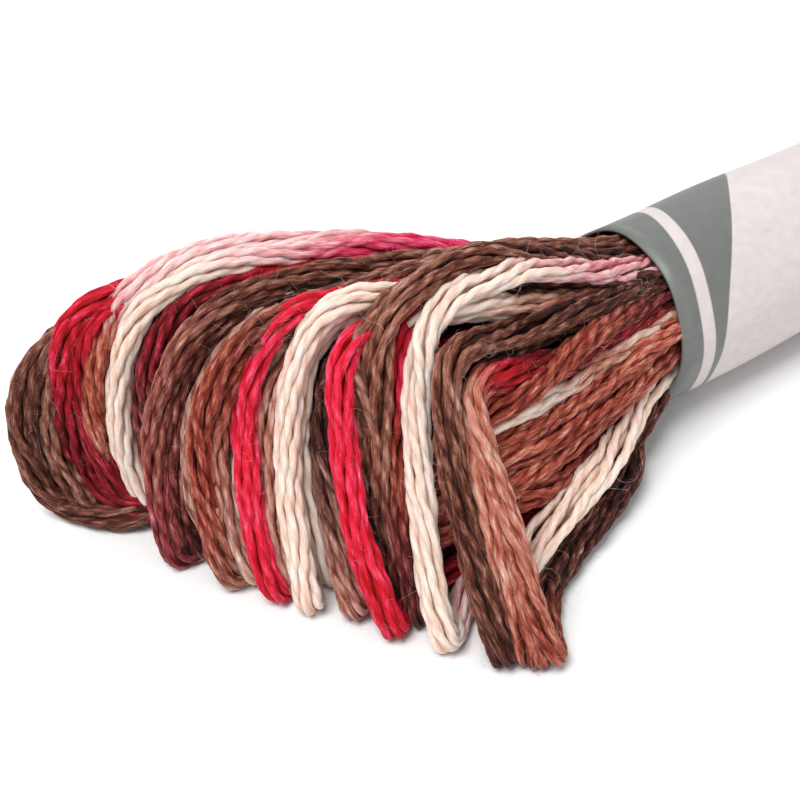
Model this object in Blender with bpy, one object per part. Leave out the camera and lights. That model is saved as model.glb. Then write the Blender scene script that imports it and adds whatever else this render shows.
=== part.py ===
"""A skein of embroidery floss lying on its side, gripped by one paper band.

The skein runs along X. The band is centred on the origin, which lies under it on the flat that
the skein rests on. The near end, at -X, is a fan of U-shaped loops that lean outward and stand
on their feet. The far end, at +X, is a plain bunch of loops.
"""

import math

import bmesh
import bpy
from mathutils import Vector

MM = 0.001

# Paper band: a sleeve open at both ends, flattened a little underneath.
BAND_LENGTH = 45.0
BAND_RADIUS = 4.0
BAND_WALL = 1.0
BAND_AXIS_Z = 3.9
BAND_SIDES = 64

# Floss: the width of one strand bundle, and how thick the gripped run is.
FLOSS_RADIUS = 0.58
FLOSS_SIDES = 7
FLOSS_STEP = 2.2
UNDER_SIDES = 6
UNDER_STEP = 3.0
FOOT_Z = 0.54
FOOT = 5
FOOT_OFFSET = Vector((0.03, 0.02, 0.05))
RIM_X = -BAND_LENGTH / 2

# Where a loop leaves the band: the ring it starts on, then the lip it swells to.
MOUTH_RADIUS = 2.0
LIP_RADIUS = 3.1
LIP_X = -2.0
TUCK_X = -0.2
CROWN_SHARE = 0.6

# Near fan. Distances are in mm from the near rim of the band, x along the skein.
# name, exit clock, ring, arch, shoulder, belly, foot, heel, back, entry clock.
FAN = (
    ("A1", 58, 0.8, 0.6, (-21.9, 7.5, 7.8), (-23.4, 8.1, 4.4), (-22.4, 7.8),
     (-20.2, 7.4), (-12.0, 5.2, 0.6), 325),
    ("A2", 72, 0.7, 0.6, (-20.4, 7.4, 7.9), (-22.2, 7.5, 4.4), (-21.2, 6.5),
     (-19.0, 6.0), (-11.0, 4.0, 0.6), 316),
    ("B1", 50, 0.9, 1.0, (-20.6, 7.4, 8.5), (-21.6, 8.0, 5.2), (-20.9, 7.6),
     (-19.0, 7.4), (-11.0, 5.4, 1.4), 334),
    ("B2", 64, 0.8, 1.0, (-19.6, 6.9, 8.4), (-21.1, 7.3, 4.8), (-20.4, 5.8),
     (-18.2, 5.2), (-10.5, 3.0, 0.6), 308),
    ("C", 62, 1.0, 1.1, (-18.5, 6.9, 9.1), (-20.2, 7.7, 5.2), (-19.6, 6.6),
     (-17.4, 6.0), (-10.5, 3.6, 1.4), 318),
    ("D", 74, 1.0, 1.1, (-18.2, 5.7, 9.2), (-19.8, 6.2, 5.2), (-19.5, 4.9),
     (-17.2, 4.6), (-10.2, 1.8, 0.6), 299),
    ("E", 88, 1.0, 1.4, (-17.0, 3.7, 9.1), (-19.4, 4.0, 5.2), (-19.8, 2.2),
     (-17.6, 2.6), (-10.2, 0.6, 0.6), 289),
    ("G", 98, 0.8, 1.2, (-17.2, 1.9, 8.5), (-18.8, 2.1, 5.0), (-18.9, -0.1),
     (-16.9, 0.8), (-10.2, -0.6, 0.6), 281),
    ("H", 106, 0.9, 1.2, (-15.6, 1.4, 9.2), (-17.5, 1.3, 5.4), (-18.3, -1.7),
     (-16.4, -0.2), (-10.4, -1.8, 0.6), 273),
    ("I1", 112, 1.0, 1.2, (-14.3, 0.7, 9.5), (-16.4, 0.1, 5.5), (-17.8, -2.9),
     (-16.0, -1.1), (-10.4, -2.8, 0.6), 265),
    ("I2", 106, 0.8, 1.2, (-13.2, 0.5, 9.1), (-15.5, -0.1, 5.2), (-16.4, -2.2),
     (-14.8, -0.8), (-10.2, -2.4, 1.6), 260),
    ("M", 120, 0.9, 1.2, (-13.8, -0.4, 8.8), (-15.6, -1.7, 5.5), (-16.2, -5.7),
     (-14.6, -3.8), (-10.2, -3.6, 1.4), 252),
    ("K", 104, 0.9, 1.0, (-12.6, -1.0, 9.8), (-14.2, -1.8, 5.8), (-14.9, -4.6),
     (-13.4, -3.2), (-8.6, -3.4, 3.2), 244),
    ("N", 124, 1.0, 1.0, (-11.0, -1.6, 9.6), (-13.1, -2.8, 6.3), (-15.4, -7.3),
     (-13.9, -5.6), (-9.0, -4.4, 2.6), 228),
    ("P", 138, 1.0, 0.8, (-11.0, -3.3, 8.8), (-12.8, -4.6, 5.9), (-14.1, -9.0),
     (-12.7, -7.3), (-8.6, -5.7, 1.5), 218),
    ("Q", 154, 1.0, 0.5, (-10.4, -3.9, 7.8), (-12.0, -5.6, 5.6), (-12.8, -10.1),
     (-11.3, -8.2), (-8.0, -6.3, 0.6), 208),
)
# The loops behind the fan, which round off its far side.
REAR = (
    ("Z1", 36, 0.9, 0.6, (-19.0, 8.6, 6.8), (-20.4, 9.4, 3.8), (-19.4, 9.2),
     (-17.4, 8.6), (-10.0, 6.2, 0.6), 342),
    ("Z2", 22, 0.9, 0.5, (-16.2, 8.6, 6.0), (-17.4, 9.8, 3.4), (-16.2, 9.6),
     (-14.4, 8.8), (-8.6, 6.2, 0.6), 350),
    ("Z3", 8, 0.9, 0.4, (-12.6, 7.8, 5.4), (-13.8, 9.2, 3.2), (-12.8, 9.0),
     (-11.2, 8.2), (-6.6, 5.6, 0.6), 356),
)
# The loops whose routes bound the body of the fan, from its far side round to its near side.
PULL_IN = 0.45
BODY_STEP = 0.5
BODY_POINTS = 16
# The loops whose return is lost among the others once it is under the fan.
SHORT_RETURN = ("A2", "B2", "C", "G", "I2", "Z2")
FAN_BODY = ("Z3", "Z2", "Z1", "A1", "A2", "D", "E", "G", "H", "I1", "M", "N")

# Passes of floss that run back into the band on the near flank of the fan.
# name, end, middle, entry clock.
FLANK = (
    ("S1", (-10.4, -5.0, 2.6), (-5.8, -4.6, 3.0), 216),
    ("S2", (-10.2, -4.2, 4.0), (-5.6, -4.0, 4.2), 200),
    ("S3", (-9.8, -3.5, 5.4), (-5.4, -3.5, 5.3), 184),
    ("S4", (-9.2, -3.0, 6.8), (-5.0, -3.1, 6.3), 168),
)

# Far end: plain U-turns side by side.
# name, side, reach past the end of the run, top, lean in degrees.
FAR_START_X = -3.0
FAR_BACK_X = -4.0
FAR = (
    ("Y1", -4.1, 9.4, 6.4, -5),
    ("Y2", -2.9, 12.4, 7.4, -4),
    ("Y3", -1.7, 14.6, 8.0, -2),
    ("Y4", -0.5, 15.8, 8.2, -1),
    ("Y5", 0.7, 16.0, 8.3, 1),
    ("Y6", 1.9, 14.4, 8.0, 3),
    ("Y7", 3.1, 12.2, 7.2, 4),
    ("Y8", 4.2, 9.0, 6.2, 6),
)

# The run. x from the origin, half width, half height, twist of the flutes in degrees.
RUN = (
    (-24.6, 3.3, 3.2, -14),
    (-23.6, 2.9, 2.9, -13),
    (-22.9, 2.7, 2.7, -12),
    (22.9, 2.7, 2.7, 12),
    (23.6, 3.1, 3.0, 13),
    (25.0, 3.8, 3.6, 15),
    (28.0, 4.3, 3.9, 19),
    (35.0, 4.6, 4.05, 28),
    (47.0, 4.9, 4.1, 43),
    (59.0, 4.9, 4.1, 59),
    (71.0, 4.8, 4.1, 75),
    (83.0, 4.7, 4.1, 90),
    (90.0, 4.8, 4.0, 96),
    (94.0, 4.2, 3.4, 98),
    (97.0, 3.0, 2.4, 99),
)
FLUTES = 18
FLUTE_DEPTH = 0.45
RUN_END_X = 92.0

# What the resting plane cuts away: a block under everything.
UNDER_LOW = (-60, -20, -5)
UNDER_HIGH = (120, 20, 0)


def catmull_rom(points, step):
    """Points about a step apart on a smooth curve through the given points."""
    points = [Vector(p) for p in points]
    chain = [2 * points[0] - points[1], *points, 2 * points[-1] - points[-2]]
    smooth = []
    for p0, p1, p2, p3 in zip(chain, chain[1:], chain[2:], chain[3:]):
        count = max(1, round((p2 - p1).length / step))
        k0 = math.sqrt((p1 - p0).length)
        k1 = math.sqrt((p2 - p1).length)
        k2 = math.sqrt((p3 - p2).length)
        out = (p1 - p0) / k0 - (p2 - p0) / (k0 + k1) + (p2 - p1) / k1
        back = (p2 - p1) / k1 - (p3 - p1) / (k1 + k2) + (p3 - p2) / k2
        out *= k1
        back *= k1
        for i in range(count):
            t = i / count
            smooth.append(
                (2 * t**3 - 3 * t**2 + 1) * p1
                + (t**3 - 2 * t**2 + t) * out
                + (3 * t**2 - 2 * t**3) * p2
                + (t**3 - t**2) * back
            )
    smooth.append(points[-1])
    return smooth


def clock_point(clock, radius, x):
    """A point on the run's round section. The clock starts at +Y and turns up."""
    angle = math.radians(clock)
    return (x, radius * math.cos(angle), BAND_AXIS_Z + radius * math.sin(angle))


def fan_route(row):
    """The way points of one loop of the fan, out of the band over the top and back underneath."""
    _, out_clock, ring, arch, shoulder, belly, foot, heel, back, in_clock = row
    out_lip = clock_point(out_clock, LIP_RADIUS * ring, LIP_X)
    in_lip = clock_point(in_clock, LIP_RADIUS * ring, LIP_X)
    crown = [(1 - CROWN_SHARE) * a + CROWN_SHARE * b for a, b in zip(out_lip, shoulder)]
    crown[2] += arch
    points = [
        clock_point(out_clock, MOUTH_RADIUS * ring, TUCK_X),
        out_lip,
        crown,
        shoulder,
        belly,
        (*foot, FOOT_Z),
        (*heel, FOOT_Z),
        back,
        in_lip,
        clock_point(in_clock, MOUTH_RADIUS * ring, TUCK_X),
    ]
    return [Vector((x + RIM_X, y, z)) for x, y, z in points]


def flank_route(row):
    """The way points of one pass that shows on the flank of the fan."""
    _, end, middle, clock = row
    points = [
        end,
        middle,
        clock_point(clock, LIP_RADIUS, LIP_X),
        clock_point(clock, MOUTH_RADIUS, TUCK_X),
    ]
    return [Vector((x + RIM_X, y, z)) for x, y, z in points]


def far_route(row):
    """The way points of one plain U-turn at the far end."""
    _, side, reach, top, tilt = row
    lean = math.tan(math.radians(tilt))
    points = [
        (FAR_START_X, side * 0.7, top * 0.8),
        (reach * 0.30, side * 0.95, top - FLOSS_RADIUS),
        (reach * 0.72, side + 0.6 * reach * lean, top - FLOSS_RADIUS),
        (reach, side + reach * lean, top * 0.52),
        (reach * 0.76, side + 0.6 * reach * lean, FOOT_Z),
        (reach * 0.30, side * 0.95, FOOT_Z),
        (FAR_BACK_X, side * 0.6, top * 0.3),
    ]
    return [Vector((x + RUN_END_X, y, z)) for x, y, z in points]


def add_object(name, mesh_data, material):
    """A mesh object in the scene, with its normals facing out."""
    mesh = bpy.data.meshes.new(name)
    mesh_data.normal_update()
    bmesh.ops.recalc_face_normals(mesh_data, faces=mesh_data.faces)
    mesh_data.to_mesh(mesh)
    mesh_data.free()
    mesh.materials.append(material)
    made = bpy.data.objects.new(name, mesh)
    bpy.context.scene.collection.objects.link(made)
    return made


def loft(rings):
    """A closed skin over rings of equal count, with a fan of triangles on each end."""
    skin = bmesh.new()
    rows = [[skin.verts.new(Vector(p) * MM) for p in ring] for ring in rings]
    count = len(rows[0])
    for one, other in zip(rows, rows[1:]):
        for i in range(count):
            j = (i + 1) % count
            skin.faces.new((one[i], one[j], other[j], other[i]))
    for row in (rows[0], rows[-1]):
        middle = skin.verts.new(sum((v.co for v in row), Vector()) / count)
        for i in range(count):
            skin.faces.new((row[i], row[(i + 1) % count], middle))
    return skin


def tube(points, radius, sides):
    """The skin of a round cord along the points."""
    rings = []
    side = Vector((0, 0, 1)).cross(points[1] - points[0])
    for i, point in enumerate(points):
        before = points[max(i - 1, 0)]
        after = points[min(i + 1, len(points) - 1)]
        along = (after - before).normalized()
        side = (side - side.dot(along) * along).normalized()
        up = along.cross(side)
        ring = []
        for k in range(sides):
            angle = 2 * math.pi * k / sides
            ring.append(point + radius * (math.cos(angle) * side + math.sin(angle) * up))
        rings.append(ring)
    return loft(rings)


def ball(centre, radius):
    """The skin of a small ball."""
    skin = bmesh.new()
    bmesh.ops.create_uvsphere(skin, u_segments=7, v_segments=4, radius=radius * MM)
    bmesh.ops.translate(skin, verts=skin.verts, vec=centre * MM)
    return skin


def resample(points, count):
    """The same curve as a set number of points, evenly spaced."""
    lengths = [0.0]
    for one, other in zip(points, points[1:]):
        lengths.append(lengths[-1] + (other - one).length)
    out = []
    at = 0
    for i in range(count):
        goal = lengths[-1] * i / (count - 1)
        while at < len(points) - 2 and lengths[at + 1] < goal:
            at += 1
        part = (goal - lengths[at]) / (lengths[at + 1] - lengths[at])
        out.append(points[at].lerp(points[at + 1], part))
    return out


def run_rings():
    """Sections of the run: a round bundle whose flutes turn slowly along it."""
    rings = []
    for x, half_width, half_height, twist in RUN:
        ring = []
        centre_z = max(half_height, BAND_AXIS_Z) if half_height < 3.9 else half_height
        for i in range(2 * FLUTES):
            angle = math.pi * i / FLUTES + math.radians(twist)
            depth = FLUTE_DEPTH if i % 2 else 0.0
            ring.append(
                (
                    x,
                    (half_width - depth) * math.cos(angle),
                    centre_z + (half_height - depth) * math.sin(angle),
                )
            )
        rings.append(ring)
    return rings


def wedge(one, other):
    """A block that fills the space between two neighbouring loops, kept just inside them."""
    skin = bmesh.new()
    for route in (one, other):
        route = resample(catmull_rom(route, BODY_STEP), BODY_POINTS)
        middle = sum(route, Vector()) / len(route)
        for point in route:
            inward = middle - point
            skin.verts.new((point + inward.normalized() * min(PULL_IN, inward.length)) * MM)
    hull = bmesh.ops.convex_hull(skin, input=skin.verts)
    loose = [v for v in hull["geom_interior"] + hull["geom_unused"] if isinstance(v, bmesh.types.BMVert)]
    bmesh.ops.delete(skin, geom=list(set(loose)), context="VERTS")
    return skin


def band_skin():
    """The paper sleeve: two round walls with a flat underneath, joined at the rims."""
    sleeve = bmesh.new()
    rows = []
    for x, radius in (
        (-BAND_LENGTH / 2, BAND_RADIUS - BAND_WALL),
        (-BAND_LENGTH / 2, BAND_RADIUS),
        (BAND_LENGTH / 2, BAND_RADIUS),
        (BAND_LENGTH / 2, BAND_RADIUS - BAND_WALL),
    ):
        row = []
        for i in range(BAND_SIDES):
            angle = 2 * math.pi * (i + 0.5) / BAND_SIDES
            z = BAND_AXIS_Z + radius * math.sin(angle)
            row.append(sleeve.verts.new(Vector((x, radius * math.cos(angle), max(z, 0.0))) * MM))
        rows.append(row)
    for one, other in zip(rows, rows[1:] + rows[:1]):
        for i in range(BAND_SIDES):
            j = (i + 1) % BAND_SIDES
            sleeve.faces.new((one[i], one[j], other[j], other[i]))
    return sleeve


def make_material(name, colour, roughness):
    """A plain Principled material."""
    material = bpy.data.materials.new(name)
    material.use_nodes = True
    shader = material.node_tree.nodes["Principled BSDF"]
    shader.inputs["Base Color"].default_value = (*colour, 1.0)
    shader.inputs["Roughness"].default_value = roughness
    return material


def add_boolean(body, operation, other):
    """An exact Boolean of the body with an object or with a collection of them."""
    boolean = body.modifiers.new(operation.lower(), "BOOLEAN")
    boolean.operation = operation
    boolean.solver = "EXACT"
    if isinstance(other, bpy.types.Collection):
        boolean.operand_type = "COLLECTION"
        boolean.collection = other
    else:
        boolean.object = other


def island(start):
    """All the points that are joined to this one by edges."""
    found = {start}
    waiting = [start]
    while waiting:
        for edge in waiting.pop().link_edges:
            for point in edge.verts:
                if point not in found:
                    found.add(point)
                    waiting.append(point)
    return found


def volume(points):
    """The signed volume inside the skin that these points carry."""
    faces = {face for point in points for face in point.link_faces}
    total = 0.0
    for face in faces:
        a, b, c = (vertex.co for vertex in face.verts)
        total += a.dot(b.cross(c)) / 6
    return total


def as_one_solid(body, pieces):
    """The finished skin of the body and its pieces, with the hollows between them filled."""
    bpy.context.view_layer.update()
    graph = bpy.context.evaluated_depsgraph_get()
    skin = bmesh.new()
    skin.from_mesh(body.evaluated_get(graph).data)
    bmesh.ops.triangulate(skin, faces=skin.faces)
    left = set(skin.verts)
    hollows = []
    while left:
        points = island(next(iter(left)))
        left -= points
        if volume(points) < 0:
            hollows.extend(points)
    bmesh.ops.delete(skin, geom=hollows, context="VERTS")
    material = body.data.materials[0]
    for piece in (body, *pieces):
        bpy.data.objects.remove(piece, do_unlink=True)
    return add_object("hank", skin, material)


def box(low, high):
    """A box between two corners."""
    skin = bmesh.new()
    corners = [
        skin.verts.new(Vector((x, y, z)) * MM)
        for x in (low[0], high[0])
        for y in (low[1], high[1])
        for z in (low[2], high[2])
    ]
    for side in ((0, 1, 3, 2), (4, 6, 7, 5), (0, 4, 5, 1), (2, 3, 7, 6), (0, 2, 6, 4), (1, 5, 7, 3)):
        skin.faces.new([corners[i] for i in side])
    return skin


def main():
    for old in list(bpy.data.objects):
        bpy.data.objects.remove(old, do_unlink=True)

    floss = make_material("floss", (0.42, 0.10, 0.08), 0.85)
    paper = make_material("paper", (0.33, 0.35, 0.33), 0.6)

    run = add_object("run", loft(run_rings()), floss)
    loops = {row[0]: fan_route(row) for row in FAN + REAR}
    ends = {row[0]: far_route(row) for row in FAR}
    pieces = []
    for routes in ([loops[name] for name in FAN_BODY], list(ends.values())):
        for one, other in zip(routes, routes[1:]):
            pieces.append(add_object(f"wedge_{len(pieces)}", wedge(one, other), floss))
    cords = []
    for route in ends.values():
        cords.append((route, FLOSS_STEP, UNDER_SIDES))
    for row in FLANK:
        cords.append((flank_route(row), FLOSS_STEP, UNDER_SIDES))
    for name, route in loops.items():
        cords.append((route[: FOOT + 1], FLOSS_STEP, FLOSS_SIDES))
        last = FOOT + 2 if name in SHORT_RETURN else len(route)
        cords.append((route[FOOT : last + 1], UNDER_STEP, UNDER_SIDES))
        pieces.append(add_object("foot_" + name, ball(route[FOOT] + FOOT_OFFSET, FLOSS_RADIUS), floss))
    for i, (route, step, sides) in enumerate(cords):
        skin = tube(catmull_rom(route, step), FLOSS_RADIUS, sides)
        pieces.append(add_object(f"turn_{i}", skin, floss))
    turns = bpy.data.collections.new("turns")
    for piece in pieces:
        turns.objects.link(piece)
    under = add_object("under", box(UNDER_LOW, UNDER_HIGH), floss)
    add_boolean(run, "UNION", turns)
    add_boolean(run, "DIFFERENCE", under)
    as_one_solid(run, [*pieces, under])

    add_object("band", band_skin(), paper)


main()
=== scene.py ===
"""The looks of a skein of embroidery floss that lies on its side, held by one paper band.

The skein runs along X. Its near end is a fan of loops, its far end a plain bunch of loops. Routes
of the fan are written in millimetres from the near rim of the band, with x along the skein and z
up from the surface it rests on. Every mesh is made in metres, in the frame of the CAD model.
"""

import logging
import math
from dataclasses import dataclass
from enum import Enum
from typing import ClassVar

import bmesh
import bpy
import numpy as np
from mathutils import Matrix, Vector


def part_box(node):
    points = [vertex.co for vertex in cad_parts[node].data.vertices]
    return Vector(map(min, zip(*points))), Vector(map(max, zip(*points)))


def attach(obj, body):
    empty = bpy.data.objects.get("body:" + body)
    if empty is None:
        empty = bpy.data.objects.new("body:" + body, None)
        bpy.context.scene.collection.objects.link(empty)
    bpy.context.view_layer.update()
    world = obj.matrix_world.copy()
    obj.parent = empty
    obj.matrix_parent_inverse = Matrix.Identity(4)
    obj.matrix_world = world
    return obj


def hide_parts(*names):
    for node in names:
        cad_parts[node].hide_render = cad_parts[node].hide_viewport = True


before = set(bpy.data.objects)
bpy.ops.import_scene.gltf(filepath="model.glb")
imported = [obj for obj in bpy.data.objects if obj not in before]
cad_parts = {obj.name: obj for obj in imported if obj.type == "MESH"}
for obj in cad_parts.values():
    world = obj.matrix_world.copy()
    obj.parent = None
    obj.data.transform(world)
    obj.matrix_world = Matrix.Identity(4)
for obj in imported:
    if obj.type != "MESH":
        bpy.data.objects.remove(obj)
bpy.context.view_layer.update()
BAND_LOW, BAND_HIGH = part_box("band")

MM = 0.001
TURN = 2 * math.pi
CIRCLE = 360
RIM_X = BAND_LOW.x / MM
FAR_RIM_X = BAND_HIGH.x / MM
BAND_RADIUS = BAND_HIGH.y / MM
AXIS_Z = BAND_HIGH.z / MM - BAND_RADIUS

LOG = logging.getLogger("floss_skein")

Point = tuple[float, float, float]
Spot = tuple[float, float]
Colour = tuple[float, float, float]

# A swing is its size and its length. A span is the least and the most that chance picks from.
Swing = tuple[float, float]
Span = tuple[float, float]

# The curve from sRGB to linear light.
SRGB_FULL = 255
SRGB_KNEE = 0.04045
SRGB_SLOPE = 12.92
SRGB_OFFSET = 0.055
SRGB_POWER = 2.4


class Dye(Enum):
    """The colours that the floss runs through, as sRGB out of 255."""

    CREAM = (236, 211, 197)
    SHELL = (232, 190, 190)
    PINK = (218, 158, 162)
    HOT_PINK = (216, 72, 116)
    BRIGHT_RED = (220, 48, 82)
    CRIMSON = (190, 18, 48)
    DEEP_RED = (136, 16, 32)
    PLUM = (148, 68, 72)
    MAROON = (116, 50, 50)
    RUST = (179, 104, 85)
    DARK_RUST = (152, 75, 58)
    SALMON = (190, 130, 112)
    ROSE_BROWN = (178, 130, 116)
    BEIGE = (204, 172, 154)
    BROWN = (156, 110, 93)
    DARK_BROWN = (118, 72, 57)
    COCOA = (142, 83, 71)
    UMBER = (88, 47, 37)

    @property
    def linear(self) -> np.ndarray:
        """The colour as linear light.

        Returns:
            Its red, green and blue.
        """
        share = np.array(self.value) / SRGB_FULL
        bright = ((share + SRGB_OFFSET) / (1 + SRGB_OFFSET)) ** SRGB_POWER
        return np.where(share <= SRGB_KNEE, share / SRGB_SLOPE, bright)


class Detail(Enum):
    """How finely a floss is modelled."""

    CLOSE = "close"
    PLAIN = "plain"


DyeRun = tuple[tuple[float, Dye], ...]
SpreadRun = tuple[tuple[float, float], ...]
CLOSED: SpreadRun = ((0.0, 1.0),)


# ---------------------------------------------------------------------------------------------
# Routes
# ---------------------------------------------------------------------------------------------

# The waves that make up a random swing, as shares of its length and of its size.
WAVES = ((1.0, 0.55), (0.61, 0.3), (0.37, 0.15))

# How finely a route is sampled, in millimetres, where only its way points are wanted.
MEASURING_STEP = 0.5

# The order of the dyes round the skein. Each holds for a length and then turns into the next, in
# way points.
DYE_ORDER = (Dye.CREAM, Dye.SHELL, Dye.HOT_PINK, Dye.BRIGHT_RED, Dye.CRIMSON, Dye.MAROON,
             Dye.DARK_BROWN, Dye.BROWN, Dye.RUST, Dye.SALMON)
DYE_LENGTH = (1.4, 2.6)
DYE_CHANGE = 0.7


def clock_point(clock: float, radius: float, x: float) -> Point:
    """A point on a round section of the skein.

    Args:
        clock: Angle in degrees, from +Y and turning up.
        radius: Distance from the axis of the band.
        x: Place along the skein.

    Returns:
        The point in millimetres.
    """
    angle = math.radians(clock)
    return (x, radius * math.cos(angle), AXIS_Z + radius * math.sin(angle))


def unit(vector: np.ndarray) -> np.ndarray:
    """The vector's direction, at length one."""
    return vector / np.linalg.norm(vector)


def ease(share: np.ndarray | float) -> np.ndarray | float:
    """A share from 0 to 1, eased at both ends."""
    return share * share * (3 - 2 * share)


class Route:
    """A smooth line through way points, sampled as stations with a frame at each one."""

    def __init__(self, points: list[Point], steps: list[float], shift_x: float) -> None:
        """Samples the line.

        Args:
            points: The way points, in millimetres.
            steps: The spacing of the stations on each stretch between two way points. The last
                one holds for every stretch after it too.
            shift_x: What is added to x to reach the frame of the model.
        """
        line = [Vector(p) + Vector((shift_x, 0, 0)) for p in points]
        chain = [2 * line[0] - line[1], *line, 2 * line[-1] - line[-2]]
        places, marks = [], []
        for index, (p0, p1, p2, p3) in enumerate(zip(chain, chain[1:], chain[2:], chain[3:])):
            count = max(2, round((p2 - p1).length / steps[min(index, len(steps) - 1)]))
            k0, k1, k2 = (math.sqrt(d.length) for d in (p1 - p0, p2 - p1, p3 - p2))
            out = ((p1 - p0) / k0 - (p2 - p0) / (k0 + k1) + (p2 - p1) / k1) * k1
            back = ((p2 - p1) / k1 - (p3 - p1) / (k1 + k2) + (p3 - p2) / k2) * k1
            for i in range(count):
                t = i / count
                places.append(
                    (2 * t**3 - 3 * t**2 + 1) * p1
                    + (t**3 - 2 * t**2 + t) * out
                    + (3 * t**2 - 2 * t**3) * p2
                    + (t**3 - t**2) * back
                )
                marks.append(index + t)
        places.append(line[-1])
        marks.append(len(line) - 1.0)
        self.places = np.array(places)
        self.marks = np.array(marks)
        gaps = np.linalg.norm(np.diff(self.places, axis=0), axis=1)
        self.along = np.concatenate([[0.0], np.cumsum(gaps)])
        self.tangents = self._tangents()
        self.sides, self.ups = self._frames()

    def _tangents(self) -> np.ndarray:
        """The direction of the line at each station."""
        ahead = np.gradient(self.places, self.along, axis=0)
        return ahead / np.linalg.norm(ahead, axis=1)[:, None]

    def _frames(self) -> tuple[np.ndarray, np.ndarray]:
        """Two directions across the line at each station, which don't twist about it.

        Returns:
            The side directions and the up directions.
        """
        side = np.cross((0.0, 0.0, 1.0), self.tangents[0])
        sides = []
        for tangent in self.tangents:
            side = unit(side - side.dot(tangent) * tangent)
            sides.append(side)
        found = np.array(sides)
        return found, np.cross(self.tangents, found)

    @property
    def length(self) -> float:
        """The length of the line."""
        return float(self.along[-1])

    @property
    def far(self) -> bool:
        """Whether it lies past the band, at the skein's far end."""
        return bool(self.places[0][0] > 0)


def resampled(points: list[Point], count: int) -> list[np.ndarray]:
    """A route's way points, spaced evenly along it.

    Args:
        points: The way points.
        count: How many to return.

    Returns:
        The new way points.
    """
    route = Route(points, [MEASURING_STEP], 0.0)
    goals = np.linspace(0, route.length, count)
    return list(np.stack([np.interp(goals, route.along, column) for column in route.places.T], axis=1))


def wander(along: np.ndarray, swing: Swing, rng: np.random.Generator) -> np.ndarray:
    """A smooth random swing to both sides.

    Args:
        along: Distances along a line.
        swing: How far it swings and how long one swing is.
        rng: Where the chance comes from.

    Returns:
        One value for each distance.
    """
    size, length = swing
    total = np.zeros_like(along)
    for part, height in WAVES:
        total += height * np.sin(TURN * along / (length * part) + rng.uniform(0, TURN))
    return size * total


def dye_along(marks: np.ndarray, run: DyeRun) -> np.ndarray:
    """The colour at each station, eased from one dye to the next.

    Args:
        marks: Way point numbers of the stations.
        run: Pairs of way point number and the dye reached there.

    Returns:
        One linear colour for each station.
    """
    stops = np.array([stop for stop, _ in run])
    shades = np.array([dye.linear for _, dye in run])
    return np.stack([np.interp(marks, stops, channel) for channel in shades.T], axis=1)


def dye_walk(rng: np.random.Generator, last: float) -> DyeRun:
    """A run of dyes in their order round the skein, from a random start.

    Args:
        rng: Where the chance comes from.
        last: The number of the last way point.

    Returns:
        Pairs of way point number and the dye reached there.
    """
    at = int(rng.integers(len(DYE_ORDER)))
    mark, stops = 0.0, []
    while mark < last:
        dye = DYE_ORDER[at % len(DYE_ORDER)]
        stops.append((mark, dye))
        mark += rng.uniform(*DYE_LENGTH)
        stops.append((mark, dye))
        mark += DYE_CHANGE
        at += 1
    return tuple(stops)


# ---------------------------------------------------------------------------------------------
# Loops and passes of floss
# ---------------------------------------------------------------------------------------------


@dataclass(frozen=True)
class Stray:
    """One strand that stands off its bundle for a while.

    Attributes:
        strand: The strand's number.
        mark: The number of the way point near which it stands off most.
        reach: How many way points to either side it takes to come back.
        off: How far it stands off, in millimetres.
    """

    strand: int
    mark: float
    reach: float
    off: Point


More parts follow.
